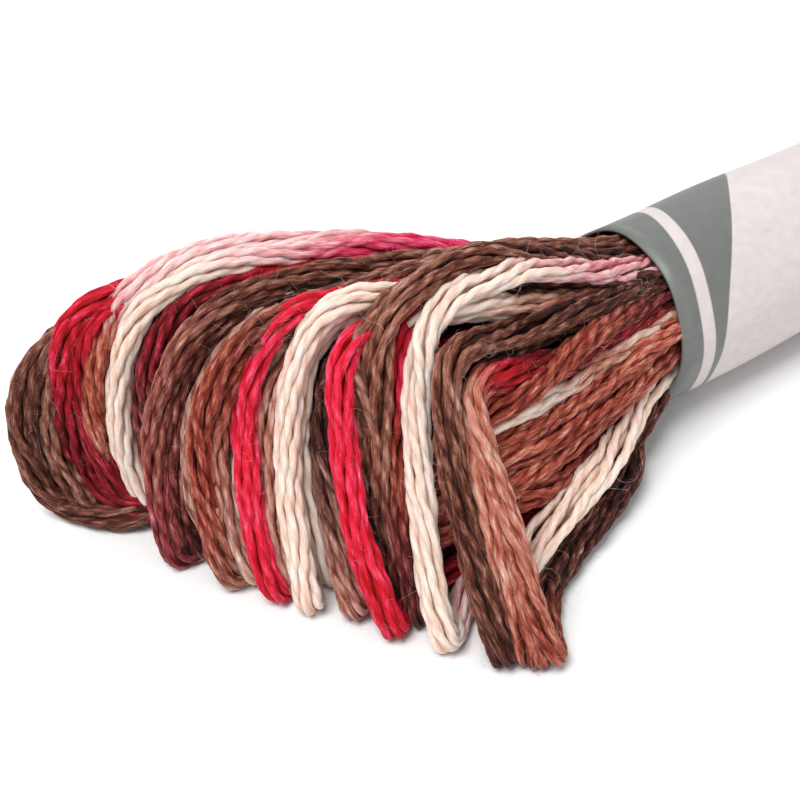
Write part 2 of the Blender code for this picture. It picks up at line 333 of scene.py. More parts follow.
@dataclass(frozen=True)
class Loop:
    """One loop of the fan: out of the band, over the top, down to its foot and back underneath.

    Attributes:
        name: What it is called.
        exit_clock: Where it comes out of the band.
        ring: How far out it lies in the band's mouth, 1 near the paper.
        arch: How far its crown rises over the way from the lip to the shoulder.
        shoulder: Where it turns down.
        belly: Where it stands out on the way down.
        foot: Where it touches the ground.
        heel: Where it leaves the ground again.
        back: The way points of its return.
        entry_clock: Where it goes into the band again.
        dyes: The dyes along it, by way point number.
        spread: How far its strands open, by way point number.
        shown_return: Whether the return shows, and is made as finely as the front.
        strays: Strands that stand off it.
        lift: How far its foot is kept off the ground.
        entry_reach: How far out it lies at its entry, of what it does at its exit.
        crown_share: How far the crown is on the way from the lip to the shoulder.
        coarseness: How much further apart its stations are than those of other loops.
    """

    name: str
    exit_clock: float
    ring: float
    arch: float
    shoulder: Point
    belly: Point
    foot: Spot
    heel: Spot
    back: tuple[Point, ...]
    entry_clock: float
    dyes: DyeRun
    spread: SpreadRun = CLOSED
    shown_return: bool = False
    strays: tuple[Stray, ...] = ()
    lift: float = 0.0
    entry_reach: float = 1.0
    crown_share: float = 0.6
    coarseness: float = 1.0

    MOUTH_RADIUS: ClassVar[float] = 2.7
    LIP_RADIUS: ClassVar[float] = 3.75
    LIP_X: ClassVar[float] = -2.0
    TUCK_X: ClassVar[float] = 2.2
    FOOT_Z: ClassVar[float] = 0.56
    HEEL_LIFT: ClassVar[float] = 0.5
    CROWN_MARK: ClassVar[int] = 2
    FOOT_MARK: ClassVar[int] = 5

    def way_points(self) -> list[Point]:
        """The way points of the loop, from the band round to the band again.

        Returns:
            The points in millimetres from the near rim.
        """
        out_lip = clock_point(self.exit_clock, self.LIP_RADIUS * self.ring, self.LIP_X)
        in_ring = self.ring * self.entry_reach
        in_lip = clock_point(self.entry_clock, self.LIP_RADIUS * in_ring, self.LIP_X)
        share = self.crown_share
        crown = [(1 - share) * a + share * b for a, b in zip(out_lip, self.shoulder)]
        crown[2] += self.arch
        return [
            clock_point(self.exit_clock, self.MOUTH_RADIUS * self.ring, self.TUCK_X),
            out_lip,
            tuple(crown),
            self.shoulder,
            self.belly,
            (*self.foot, self.FOOT_Z + self.lift),
            (*self.heel, self.FOOT_Z + self.HEEL_LIFT * self.lift),
            *self.back,
            in_lip,
            clock_point(self.entry_clock, self.MOUTH_RADIUS * in_ring, self.TUCK_X),
        ]


LOOPS = (
    Loop("A1", 58, 0.8, 0.2, (-21.2, 8.0, 7.3), (-23.0, 8.1, 4.4), (-22.3, 7.4), (-20.8, 5.4),
         ((-12.0, 3.4, 0.6),), 325, ((0, Dye.DARK_BROWN), (2.6, Dye.BROWN), (3.5, Dye.DARK_BROWN))),
    Loop("A2", 72, 0.7, 0.6, (-20.7, 7.8, 7.7), (-22.0, 8.0, 3.8), (-21.4, 6.9), (-20.0, 5.0),
         ((-11.0, 3.0, 0.6),), 316, ((0, Dye.DARK_BROWN), (4, Dye.BROWN), (6, Dye.UMBER))),
    Loop("B1", 50, 0.9, 1.0, (-20.4, 7.4, 8.5), (-21.3, 7.8, 5.2), (-21.0, 7.1), (-19.8, 4.9),
         ((-11.0, 4.4, 1.4),), 334, ((0, Dye.CRIMSON), (3.6, Dye.CRIMSON), (4.3, Dye.DEEP_RED)),
         lift=0.5),
    Loop("B2", 64, 0.8, 1.0, (-19.7, 7.0, 8.3), (-20.7, 7.4, 4.6), (-20.2, 5.8), (-18.8, 4.4),
         ((-10.5, 3.0, 0.6),), 308, ((0, Dye.CRIMSON), (3.4, Dye.CRIMSON), (4.2, Dye.DEEP_RED)),
         lift=0.6),
    Loop("C", 62, 0.95, 1.5, (-18.6, 6.6, 9.2), (-20.4, 7.0, 5.8), (-19.6, 6.4), (-17.4, 6.0),
         ((-10.5, 3.6, 1.4),), 318,
         ((0, Dye.HOT_PINK), (1.4, Dye.HOT_PINK), (1.6, Dye.PINK), (1.8, Dye.SHELL), (2.8, Dye.SHELL),
          (3.4, Dye.RUST), (6, Dye.DARK_RUST)), ((0, 1.2), (2.5, 1.2), (3.5, 1.4), (5, 1.2)),
         strays=(Stray(0, 3.9, 1.0, (-0.35, 0.3, 0.1)),), crown_share=0.78),
    Loop("D", 76, 0.86, 1.55, (-18.2, 5.7, 9.2), (-19.8, 6.2, 5.2), (-19.5, 4.9), (-17.2, 4.6),
         ((-10.2, 1.8, 0.6),), 299,
         ((0, Dye.HOT_PINK), (1.8, Dye.HOT_PINK), (2.1, Dye.PINK), (2.3, Dye.SHELL), (2.7, Dye.CREAM))),
    Loop("F", 82, 0.8, 1.15, (-17.5, 5.0, 8.8), (-19.2, 5.3, 5.0), (-19.2, 3.7), (-17.4, 3.6),
         ((-10.2, 1.2, 0.6),), 294,
         ((0, Dye.HOT_PINK), (1.8, Dye.HOT_PINK), (2.2, Dye.CRIMSON), (2.7, Dye.DEEP_RED),
          (3.4, Dye.DEEP_RED), (4, Dye.MAROON), (5, Dye.DARK_RUST))),
    Loop("E", 84, 1.0, 0.9, (-16.9, 3.7, 9.1), (-19.5, 4.0, 5.2), (-20.1, 2.2), (-17.6, 2.6),
         ((-10.2, 0.6, 0.6),), 289,
         ((0, Dye.UMBER), (1.6, Dye.DARK_BROWN), (2.9, Dye.DARK_BROWN), (3.5, Dye.COCOA),
          (4.1, Dye.COCOA), (4.6, Dye.PLUM), (6, Dye.MAROON))),
    Loop("E2", 88, 0.9, 0.9, (-16.4, 3.6, 8.8), (-19.0, 3.9, 5.0), (-19.5, 2.1), (-17.1, 2.3),
         ((-10.2, 0.2, 1.4),), 285,
         ((0, Dye.UMBER), (2.6, Dye.UMBER), (3.2, Dye.DARK_BROWN), (3.8, Dye.COCOA), (4.6, Dye.MAROON),
          (6, Dye.UMBER))),
    Loop("G", 94, 0.8, 1.5, (-17.1, 1.9, 8.6), (-18.8, 2.1, 5.0), (-19.2, -0.1), (-16.9, 0.8),
         ((-10.2, -0.6, 0.6),), 281,
         ((0, Dye.DARK_BROWN), (2.4, Dye.DARK_BROWN), (3.3, Dye.DARK_RUST), (4.4, Dye.DARK_RUST),
          (5, Dye.BROWN), (7, Dye.UMBER))),
    Loop("G2", 97, 0.8, 1.1, (-16.6, 1.8, 8.4), (-18.3, 2.0, 4.8), (-18.6, -0.3), (-16.5, 0.6),
         ((-10.2, -1.0, 1.4),), 277,
         ((0, Dye.UMBER), (2.6, Dye.DARK_BROWN), (3.4, Dye.DARK_RUST), (4.3, Dye.ROSE_BROWN),
          (5, Dye.BEIGE), (6, Dye.BROWN))),
    Loop("H", 104, 0.8, 0.9, (-15.6, 1.5, 9.2), (-17.5, 1.3, 5.4), (-18.3, -1.7), (-16.4, -0.2),
         ((-10.4, -1.8, 0.6),), 273,
         ((0, Dye.DEEP_RED), (2.4, Dye.CRIMSON), (3.2, Dye.BRIGHT_RED), (4.4, Dye.BRIGHT_RED),
          (5.2, Dye.CRIMSON))),
    Loop("J1", 104, 0.7, 0.5, (-14.8, 1.5, 8.0), (-16.7, 0.9, 5.2), (-17.5, -2.0), (-15.6, -0.8),
         ((-10.4, -2.2, 0.8),), 270,
         ((0, Dye.UMBER), (3, Dye.ROSE_BROWN), (4.4, Dye.ROSE_BROWN), (5.4, Dye.BROWN), (7, Dye.UMBER)),
         coarseness=1.3),
    Loop("I1", 108, 0.8, 0.4, (-14.3, 0.7, 9.5), (-16.4, 0.1, 5.5), (-17.8, -2.9), (-16.0, -1.1),
         ((-10.4, -2.8, 0.6),), 265, ((0, Dye.SHELL), (2, Dye.CREAM), (5.5, Dye.CREAM), (8, Dye.SHELL))),
    Loop("I2", 106, 0.7, 0.3, (-14.1, 0.9, 8.7), (-15.9, 0.3, 5.2), (-16.4, -2.2), (-14.8, -0.8),
         ((-10.2, -2.4, 1.6),), 260, ((0, Dye.SHELL), (3, Dye.CREAM), (5.5, Dye.CREAM), (7, Dye.BEIGE)),
         coarseness=1.3),
    Loop("J2", 110, 0.7, 0.0, (-13.6, 0.6, 7.7), (-15.3, -0.5, 5.0), (-16.7, -4.2), (-15.0, -2.6),
         ((-10.2, -3.0, 0.8),), 258,
         ((0, Dye.UMBER), (4, Dye.UMBER), (4.8, Dye.ROSE_BROWN), (6, Dye.UMBER)), coarseness=1.3),
    Loop("M", 112, 0.7, 0.6, (-13.8, -0.4, 8.7), (-15.4, -1.8, 5.5), (-16.2, -5.7), (-14.6, -3.8),
         ((-10.2, -3.6, 1.4),), 252,
         ((0, Dye.DEEP_RED), (2.4, Dye.CRIMSON), (3.2, Dye.BRIGHT_RED), (4.4, Dye.BRIGHT_RED),
          (5.2, Dye.CRIMSON)), ((0, 1.0), (4, 1.15))),
    Loop("K2", 100, 0.9, 1.3, (-12.75, -0.4, 9.3), (-14.15, -1.3, 5.5), (-15.1, -4.1), (-13.6, -2.8),
         ((-9.6, -3.0, 2.0),), 230,
         ((0, Dye.UMBER), (2, Dye.DARK_BROWN), (4, Dye.BROWN), (6, Dye.UMBER))),
    Loop("K", 94, 1.0, 1.5, (-12.5, -0.9, 9.6), (-13.9, -1.8, 5.8), (-14.9, -4.6), (-13.4, -3.2),
         ((-8.8, -3.4, 3.6), (-5.6, -3.3, 4.1)), 159,
         ((0, Dye.UMBER), (2, Dye.DARK_BROWN), (3, Dye.BROWN), (4, Dye.BROWN), (4.8, Dye.MAROON),
          (6, Dye.RUST)), ((0, 1.3), (3, 1.3), (5, 1.1)), True, (Stray(1, 3.3, 0.9, (-0.9, 0.9, 0.1)),)),
    Loop("K3", 102, 0.8, 1.0, (-11.5, -0.9, 9.2), (-13.15, -2.0, 5.6), (-15.0, -5.8), (-13.5, -4.3),
         ((-9.8, -3.8, 2.4),), 222,
         ((0, Dye.UMBER), (2.7, Dye.UMBER), (3.2, Dye.CRIMSON), (3.7, Dye.CRIMSON), (4.1, Dye.DARK_RUST),
          (4.6, Dye.MAROON), (5.4, Dye.UMBER))),
    Loop("N", 109, 1.06, 1.15, (-11.4, -1.6, 9.3), (-13.3, -3.4, 5.6), (-15.2, -7.35), (-13.35, -6.15),
         ((-9.4, -4.4, 3.0), (-5.6, -3.4, 3.5)), 174,
         ((0, Dye.PINK), (1.3, Dye.PINK), (2, Dye.CREAM), (5.2, Dye.CREAM), (5.8, Dye.SHELL),
          (6.6, Dye.SALMON), (7.2, Dye.DARK_RUST)),
         ((0, 1.5), (1, 1.75), (2.2, 1.75), (3, 1.3), (4, 1.1)), True,
         (Stray(2, 3.2, 0.7, (0.3, -0.25, -0.05)),), entry_reach=0.85),
    Loop("P", 123, 1.0, 0.2, (-11.75, -3.25, 8.6), (-12.75, -4.35, 6.6), (-14.1, -9.0), (-12.7, -7.3),
         ((-10.6, -6.55, 1.5), (-8.15, -5.9, 2.15), (-5.2, -5.05, 2.4)), 196,
         ((0, Dye.UMBER), (1.4, Dye.UMBER), (2.2, Dye.DARK_BROWN), (3.4, Dye.BROWN),
          (4.2, Dye.DARK_BROWN), (4.7, Dye.DARK_BROWN), (5.2, Dye.UMBER), (6, Dye.SALMON),
          (6.6, Dye.CREAM)),
         ((0, 1.3), (1, 1.5), (2.3, 1.8), (3, 1.3), (5, 1.0), (7, 1.7), (9, 1.65), (10, 1.15)), True),
    Loop("Q", 142, 0.9, -0.2, (-11.2, -3.9, 7.6), (-11.9, -5.45, 5.85), (-12.8, -10.1), (-11.2, -8.0),
         ((-8.9, -6.8, 0.6), (-6.6, -6.15, 0.7), (-4.2, -5.25, 0.95)), 214,
         ((0, Dye.DARK_RUST), (1.2, Dye.DEEP_RED), (2, Dye.DEEP_RED), (2.5, Dye.CRIMSON),
          (3.1, Dye.SALMON), (4, Dye.SALMON), (5.2, Dye.DARK_RUST), (6.2, Dye.UMBER)),
         ((2.4, 1.1), (3, 0.8), (4, 0.9), (5, 1.2)), True, entry_reach=1.12),
    Loop("Q2", 150, 0.8, -0.3, (-11.2, -3.9, 7.1), (-12.2, -5.2, 5.6), (-13.3, -9.7), (-12.2, -8.0),
         ((-9.4, -6.3, 0.8), (-6.6, -5.5, 1.0)), 212,
         ((0, Dye.DARK_RUST), (2.6, Dye.DEEP_RED), (3.4, Dye.RUST), (4.4, Dye.SALMON),
          (5.2, Dye.DARK_RUST), (6.4, Dye.UMBER)), CLOSED, True, entry_reach=1.1),
    Loop("Z1", 36, 0.9, 0.6, (-19.0, 8.6, 6.8), (-20.4, 9.4, 3.8), (-19.4, 9.2), (-17.4, 8.6),
         ((-10.0, 6.2, 0.6),), 342, ((0, Dye.SALMON), (3, Dye.RUST), (6, Dye.BROWN)), coarseness=1.5),
    Loop("Z2", 22, 0.9, 0.5, (-16.2, 8.6, 6.0), (-17.4, 9.8, 3.4), (-16.2, 9.6), (-14.4, 8.8),
         ((-8.6, 6.2, 0.6),), 350, ((0, Dye.CREAM), (3, Dye.SHELL), (6, Dye.HOT_PINK)), coarseness=1.5),
    Loop("Z3", 8, 0.9, 0.4, (-12.6, 7.8, 5.4), (-13.8, 9.2, 3.2), (-12.8, 9.0), (-11.2, 8.2),
         ((-6.6, 5.6, 0.6),), 356, ((0, Dye.BRIGHT_RED), (3, Dye.CRIMSON), (6, Dye.DARK_BROWN)),
         coarseness=1.5),
)


@dataclass(frozen=True)
class Inner:
    """An inner loop, which fills the fan behind two loops of it.

    Attributes:
        one: The name of the first loop.
        other: The name of the second loop.
        pull: How far it is drawn in towards the middle of the two.
        dye: Its dye.
        sink: How far it is set back, towards +Y.
    """

    one: str
    other: str
    pull: float
    dye: Dye
    sink: float = 0.4


INNERS = (
    Inner("A1", "A2", 0.6, Dye.DARK_BROWN, 1.2),
    Inner("A1", "A2", 1.6, Dye.UMBER, 1.2),
    Inner("A2", "B1", 1.6, Dye.UMBER, 0.9),
    Inner("B1", "B2", 1.0, Dye.DEEP_RED, 0.8),
    Inner("B2", "C", 1.2, Dye.DEEP_RED),
    Inner("C", "D", 1.2, Dye.RUST),
    Inner("D", "F", 1.2, Dye.DARK_RUST),
    Inner("F", "E", 1.2, Dye.MAROON),
    Inner("E", "G", 0.9, Dye.ROSE_BROWN),
    Inner("G", "H", 1.1, Dye.BEIGE),
    Inner("H", "J1", 1.5, Dye.UMBER),
    Inner("I1", "J2", 1.6, Dye.MAROON),
    Inner("J2", "M", 1.2, Dye.UMBER),
    Inner("M", "K2", 1.0, Dye.UMBER),
    Inner("B1", "D", 2.4, Dye.UMBER),
    Inner("D", "E", 2.5, Dye.UMBER),
    Inner("E", "H", 2.4, Dye.DARK_RUST),
    Inner("G", "I1", 2.6, Dye.UMBER),
    Inner("I1", "M", 2.6, Dye.DARK_RUST),
    Inner("Z1", "A2", 1.2, Dye.DARK_RUST),
    Inner("Z2", "Z1", 1.2, Dye.MAROON),
    Inner("Z3", "Z2", 1.2, Dye.UMBER),
    Inner("Z3", "Z1", 2.4, Dye.DARK_BROWN),
)


@dataclass(frozen=True)
class Pass:
    """One pass of floss that ends out of sight inside the fan and runs into the band.

    Attributes:
        name: What it is called.
        points: Its way points outside the band.
        entry_clock: Where it goes into the band.
        ring: How far out it lies in the band's mouth, 1 near the paper.
        dyes: The dyes along it, by way point number.
    """

    name: str
    points: tuple[Point, ...]
    entry_clock: float
    ring: float
    dyes: DyeRun

    def way_points(self) -> list[Point]:
        """The way points of the pass, the last one inside the band."""
        return [*self.points, clock_point(self.entry_clock, Loop.MOUTH_RADIUS * self.ring, Loop.TUCK_X)]


PASSES = (
    Pass("brown_top", ((-9.0, -0.1, 7.8), (-8.0, -0.4, 8.0), (-5.5, -1.0, 8.0), (-2.6, -1.7, 7.6)), 124,
         1.0, ((0, Dye.UMBER), (2, Dye.DARK_BROWN), (4, Dye.UMBER))),
    Pass("brown_crest", ((-13.5, 2.4, 8.8), (-9.0, 1.6, 9.1), (-5.0, 1.1, 8.6), (-1.5, 0.8, 7.5)), 80,
         1.1, ((0, Dye.DARK_BROWN), (1.4, Dye.BROWN), (4, Dye.DARK_BROWN))),
    Pass("beige_top",
         ((-11.8, -0.9, 8.9), (-10.7, -1.4, 9.3), (-9.2, -1.7, 9.0), (-7.0, -1.95, 8.25),
          (-2.6, -2.0, 7.1)), 120, 0.9,
         ((0, Dye.CREAM), (1.8, Dye.CREAM), (2.5, Dye.BEIGE), (3.3, Dye.ROSE_BROWN),
          (3.9, Dye.DARK_BROWN))),
    Pass("red_top",
         ((-12.4, -1.2, 7.3), (-10.9, -1.4, 7.5), (-9.0, -0.9, 7.2), (-6.6, -0.9, 6.7),
          (-2.4, -1.6, 6.1)), 128, 0.8, ((0, Dye.CRIMSON), (1.6, Dye.CRIMSON), (2.6, Dye.UMBER))),
    Pass("brown_middle", ((-10.2, -2.6, 7.4), (-8.6, -2.5, 7.3), (-6.4, -2.3, 7.2), (-2.4, -2.4, 6.7)),
         132, 0.95, ((0, Dye.UMBER), (2, Dye.DARK_BROWN), (4, Dye.UMBER))),
    Pass("red_middle",
         ((-8.0, -2.7, 5.9), (-6.1, -2.95, 5.9), (-4.9, -3.0, 5.8), (-3.8, -2.9, 5.75),
          (-2.4, -2.7, 5.8)), 146, 0.9, ((0, Dye.DEEP_RED), (3, Dye.CRIMSON), (5, Dye.DEEP_RED))),
    Pass("rust_top",
         ((-12.2, -3.3, 5.8), (-10.1, -4.0, 6.2), (-8.0, -3.9, 6.6), (-5.0, -3.2, 6.9),
          (-2.1, -2.65, 6.55)), 136, 0.95, ((0, Dye.DARK_RUST), (3, Dye.DARK_RUST), (4.4, Dye.MAROON))),
    Pass("cream_middle",
         ((-12.0, -3.4, 5.2), (-10.0, -3.9, 5.7), (-7.6, -3.7, 5.55), (-4.9, -3.3, 5.5),
          (-2.0, -3.0, 5.5)), 147, 1.0,
         ((0, Dye.CREAM), (2, Dye.CREAM), (3, Dye.SALMON), (4, Dye.BEIGE))),
    Pass("rust_middle", ((-13.4, -2.9, 4.5), (-10.0, -4.1, 4.9), (-7.0, -4.0, 4.7), (-3.4, -3.5, 4.8)),
         159, 1.0, ((0, Dye.DARK_RUST), (2, Dye.RUST), (4, Dye.DARK_RUST))),
    Pass("rust_low", ((-13.6, -3.4, 3.8), (-10.1, -4.4, 4.4), (-7.1, -4.5, 4.15), (-3.3, -3.8, 3.95)),
         171, 1.0, ((0, Dye.RUST), (2, Dye.DARK_RUST), (4, Dye.RUST))),
    Pass("rust_lower", ((-13.8, -4.1, 3.2), (-10.2, -4.9, 3.6), (-7.7, -4.6, 3.3), (-4.5, -3.8, 3.3)),
         182, 0.9, ((0, Dye.RUST), (2, Dye.RUST), (4, Dye.DARK_RUST))),
    Pass("rust_under", ((-14.0, -4.6, 2.6), (-10.3, -5.3, 2.9), (-8.7, -5.1, 2.6), (-6.0, -4.3, 2.5)),
         190, 0.8, ((0, Dye.DARK_RUST), (2, Dye.DARK_RUST), (4, Dye.MAROON))),
    Pass("red_low", ((-14.4, -5.0, 0.8), (-12.2, -5.1, 1.0), (-10.4, -4.9, 1.4), (-6.4, -4.4, 2.0)), 204,
         0.8, ((0, Dye.DEEP_RED), (2, Dye.CRIMSON), (4, Dye.DARK_RUST))),
    Pass("brown_under",
         ((-12.4, -6.0, 0.8), (-9.9, -6.2, 1.0), (-8.5, -6.1, 1.1), (-6.5, -5.6, 1.3), (-4.3, -4.6, 1.5),
          (-2.0, -3.85, 1.95)), 206, 0.8, ((0, Dye.UMBER), (3, Dye.DARK_BROWN), (5, Dye.UMBER))),
)


# ---------------------------------------------------------------------------------------------
# Finishes
# ---------------------------------------------------------------------------------------------

Socket = bpy.types.NodeSocket
Input = Socket | float | tuple[float, ...]

# Where a Mix node has its two colours and its mixed colour.
MIX_FIRST = 6
MIX_SECOND = 7
MIX_RESULT = 2

# What the fibre group takes besides the place on the strand, and the make-up of its noise.
FIBRE_INPUTS = (("Across", 9.0), ("Along", 1.7), ("Depth", 0.2), ("Seed", 0.0))
FIBRE_DETAIL = 3.0
FIBRE_ROUGHNESS = 0.6
NOISE_MIDDLE = 0.5


class Nodes:
    """A node tree that is filled one node at a time."""

    def __init__(self, tree: bpy.types.NodeTree) -> None:
        """Takes the tree to fill."""
        self.tree = tree

    def add(self, kind: str, **settings: object) -> bpy.types.Node:
        """Adds a node.

        Args:
            kind: The node's type name.
            settings: Properties to set on it.

        Returns:
            The node.
        """
        node = self.tree.nodes.new(kind)
        for key, value in settings.items():
            setattr(node, key, value)
        return node

    def feed(self, socket: Socket, value: Input) -> None:
        """Links a socket to an input, or sets the input's number.

        Args:
            socket: The input.
            value: A socket, a number or a colour.
        """
        if isinstance(value, Socket):
            self.tree.links.new(value, socket)
        else:
            socket.default_value = value

    def fill(self, node: bpy.types.Node, values: dict[str | int, Input]) -> None:
        """Feeds several inputs of a node.

        Args:
            node: The node.
            values: A socket, a number or a colour for each input, by its name or its place.
        """
        for key, value in values.items():
            self.feed(node.inputs[key], value)

    def math(self, operation: str, *values: Input) -> Socket:
        """A Math node on sockets or numbers.

        Args:
            operation: What the node does.
            values: A socket or a number for each input.

        Returns:
            The result's socket.
        """
        node = self.add("ShaderNodeMath", operation=operation)
        self.fill(node, dict(enumerate(values)))
        return node.outputs[0]

    def scaled(self, vector: Socket, factor: Input) -> Socket:
        """A vector or a colour times a number.

        Args:
            vector: The vector's socket.
            factor: A socket or a number.

        Returns:
            The result's socket.
        """
        node = self.add("ShaderNodeVectorMath", operation="SCALE")
        self.fill(node, {0: vector, "Scale": factor})
        return node.outputs[0]

    def ramp(self, value: Input, low: float, high: float, curve: str) -> Socket:
        """A mask that rises from 0 to 1.

        Args:
            value: What it follows.
            low: The value where it leaves 0.
            high: The value where it reaches 1.
            curve: How it rises in between.

        Returns:
            The mask's socket.
        """
        node = self.add("ShaderNodeMapRange", interpolation_type=curve, clamp=True)
        self.fill(node, {"Value": value, "From Min": low, "From Max": high})
        return node.outputs[0]

    def relief(self, height: Socket, strength: float, rise: float) -> Socket:
        """The normal that a height gives.

        Args:
            height: The socket of the height.
            strength: How much of it is felt.
            rise: The height's full rise, in millimetres.

        Returns:
            The normal's socket.
        """
        node = self.add("ShaderNodeBump")
        self.fill(node, {"Height": height, "Strength": strength, "Distance": rise * MM})
        return node.outputs[0]


def blank_material(name: str) -> tuple[bpy.types.Material, Nodes, bpy.types.Node]:
    """A new material.

    Args:
        name: Its name.

    Returns:
        The material, its nodes and its shader.
    """
    material = bpy.data.materials.new(name)
    material.use_nodes = True
    return material, Nodes(material.node_tree), material.node_tree.nodes["Principled BSDF"]


def fibre_group() -> bpy.types.NodeTree:
    """The fine fibres of spun cotton and of paper, drawn along them.

    Returns:
        A group with the inputs Lay, Across, Along, Depth and Seed and the outputs Shade and Height.
    """
    group = bpy.data.node_groups.new("cotton_fibres", "ShaderNodeTree")
    group.interface.new_socket("Lay", in_out="INPUT", socket_type="NodeSocketVector")
    for name, value in FIBRE_INPUTS:
        socket = group.interface.new_socket(name, in_out="INPUT", socket_type="NodeSocketFloat")
        socket.default_value = value
    for name in ("Shade", "Height"):
        group.interface.new_socket(name, in_out="OUTPUT", socket_type="NodeSocketFloat")
    nodes = Nodes(group)
    given = nodes.add("NodeGroupInput").outputs
    scale = nodes.add("ShaderNodeCombineXYZ")
    nodes.fill(scale, {0: given["Across"], 1: given["Across"], 2: given["Along"]})
    stretched = nodes.add("ShaderNodeVectorMath", operation="MULTIPLY")
    nodes.fill(stretched, {0: given["Lay"], 1: scale.outputs[0]})
    fine = nodes.add("ShaderNodeTexNoise", noise_dimensions="4D")
    nodes.fill(fine, {"Vector": stretched.outputs[0], "W": given["Seed"], "Scale": 1.0,
                      "Detail": FIBRE_DETAIL, "Roughness": FIBRE_ROUGHNESS})
    centred = nodes.math("SUBTRACT", fine.outputs[0], NOISE_MIDDLE)
    shade = nodes.math("MULTIPLY_ADD", centred, given["Depth"], 1.0)
    nodes.fill(nodes.add("NodeGroupOutput"), {"Shade": shade, "Height": fine.outputs[0]})
    return group


@dataclass(frozen=True)
class CottonFinish:
    """Mercerised cotton: soft, with a low sheen, fibres along the strand and painted shade in its grooves.

    Attributes:
        name: The material's name.
        drawn_plies: Whether the plies are drawn, on strands that are modelled plain.
        ply_turn: The length of one turn of the drawn plies.
        ply_relief: How deep the drawn grooves between them go.
        ply_edge: Where the groove begins on the wave of the drawn plies.
        roughness: The shader's roughness.
        sheen: How much sheen it has.
        sheen_roughness: How broad the sheen is.
        specular: How much it shines.
        groove_shade_darkening: How much painted shade darkens a groove.
        groove_shade_deepening: How much the painted shade deepens the dye in a groove.
        pale_shade_easing: How much less painted shade a pale dye gets there.
        softness: How much light goes into the cotton.
        soft_reach: How far it goes, in millimetres.
        soft_tint: How far each colour of light goes, of that.
        grain: How much the fibres change the depth of the dye.
        bump: How much of the fibres' relief is felt.
        relief: Their full rise, in millimetres.
    """

    name: str = "cotton_floss"
    drawn_plies: bool = False
    ply_turn: float = 2.1
    ply_relief: float = 1.6
    ply_edge: float = -0.2
    roughness: float = 0.7
    sheen: float = 0.03
    sheen_roughness: float = 0.5
    specular: float = 0.2
    groove_shade_darkening: float = 0.08
    groove_shade_deepening: float = 0.9
    pale_shade_easing: float = 0.75
    softness: float = 0.7
    soft_reach: float = 0.4
    soft_tint: Colour = (1.0, 0.85, 0.75)
    grain: float = 2.8
    bump: float = 1.4
    relief: float = 0.06

    def make(self, fibres: bpy.types.NodeTree) -> bpy.types.Material:
        """The material, which reads the dye, lay, strand and groove of each point and paints shade into the
        grooves.

        Args:
            fibres: The group that draws the fibres.

        Returns:
            The material.
        """
        material, nodes, shader = blank_material(self.name)
        dye = nodes.add("ShaderNodeAttribute", attribute_name="dye").outputs["Color"]
        lay = nodes.add("ShaderNodeAttribute", attribute_name="lay").outputs["Vector"]
        seed = nodes.add("ShaderNodeAttribute", attribute_name="strand").outputs["Fac"]
        grain = nodes.add("ShaderNodeGroup", node_tree=fibres)
        nodes.fill(grain, {"Lay": lay, "Seed": seed, "Depth": self.grain})
        # Painted shade: the groove mask deepens and darkens the dye in the creases between plies and
        # strands, less on a pale dye. The fibre grain also changes the depth of the dye in the same Gamma
        # node.
        groove = self._groove(nodes, lay)
        pale = nodes.add("ShaderNodeRGBToBW")
        nodes.fill(pale, {0: dye})
        groove_shade_deepening = nodes.math("MULTIPLY_ADD", pale.outputs[0], -self.pale_shade_easing, self.groove_shade_deepening)
        crease_shade = nodes.math("MULTIPLY_ADD", groove, groove_shade_deepening, 1.0)
        thinness = nodes.math("SUBTRACT", 2.0, grain.outputs["Shade"])
        deep = nodes.add("ShaderNodeGamma")
        nodes.fill(deep, {"Color": dye, "Gamma": nodes.math("MULTIPLY", crease_shade, thinness)})
        shadow = nodes.math("MULTIPLY_ADD", groove, -self.groove_shade_darkening, 1.0)
        height = grain.outputs["Height"]
        if self.drawn_plies:
            height = nodes.math("MULTIPLY_ADD", groove, -self.ply_relief, height)
        nodes.fill(shader, {
            "Base Color": nodes.scaled(deep.outputs[0], shadow),
            "Normal": nodes.relief(height, self.bump, self.relief),
            "Roughness": self.roughness,
            "Subsurface Weight": self.softness,
            "Subsurface Radius": self.soft_tint,
            "Subsurface Scale": self.soft_reach * MM,
            "Sheen Weight": self.sheen,
            "Sheen Roughness": self.sheen_roughness,
            "Specular IOR Level": self.specular,
        })
        return material

    def _groove(self, nodes: Nodes, lay: Socket) -> Socket:
        """How deep a point lies in a groove, 0 on the outside of a strand; the finish paints shade by it.

        Args:
            nodes: The material's nodes.
            lay: Where the point is on its strand.

        Returns:
            The socket of the mask.
        """
        if not self.drawn_plies:
            return nodes.add("ShaderNodeAttribute", attribute_name="groove").outputs["Fac"]
        split = nodes.add("ShaderNodeSeparateXYZ")
        nodes.fill(split, {0: lay})
        across, up, along = split.outputs
        around = nodes.math("MULTIPLY", nodes.math("ARCTAN2", up, across), 2.0)
        turned = nodes.math("MULTIPLY_ADD", along, 2 * TURN / self.ply_turn, around)
        wave = nodes.math("COSINE", turned)
        return nodes.ramp(wave, self.ply_edge, 1.0, "SMOOTHSTEP")


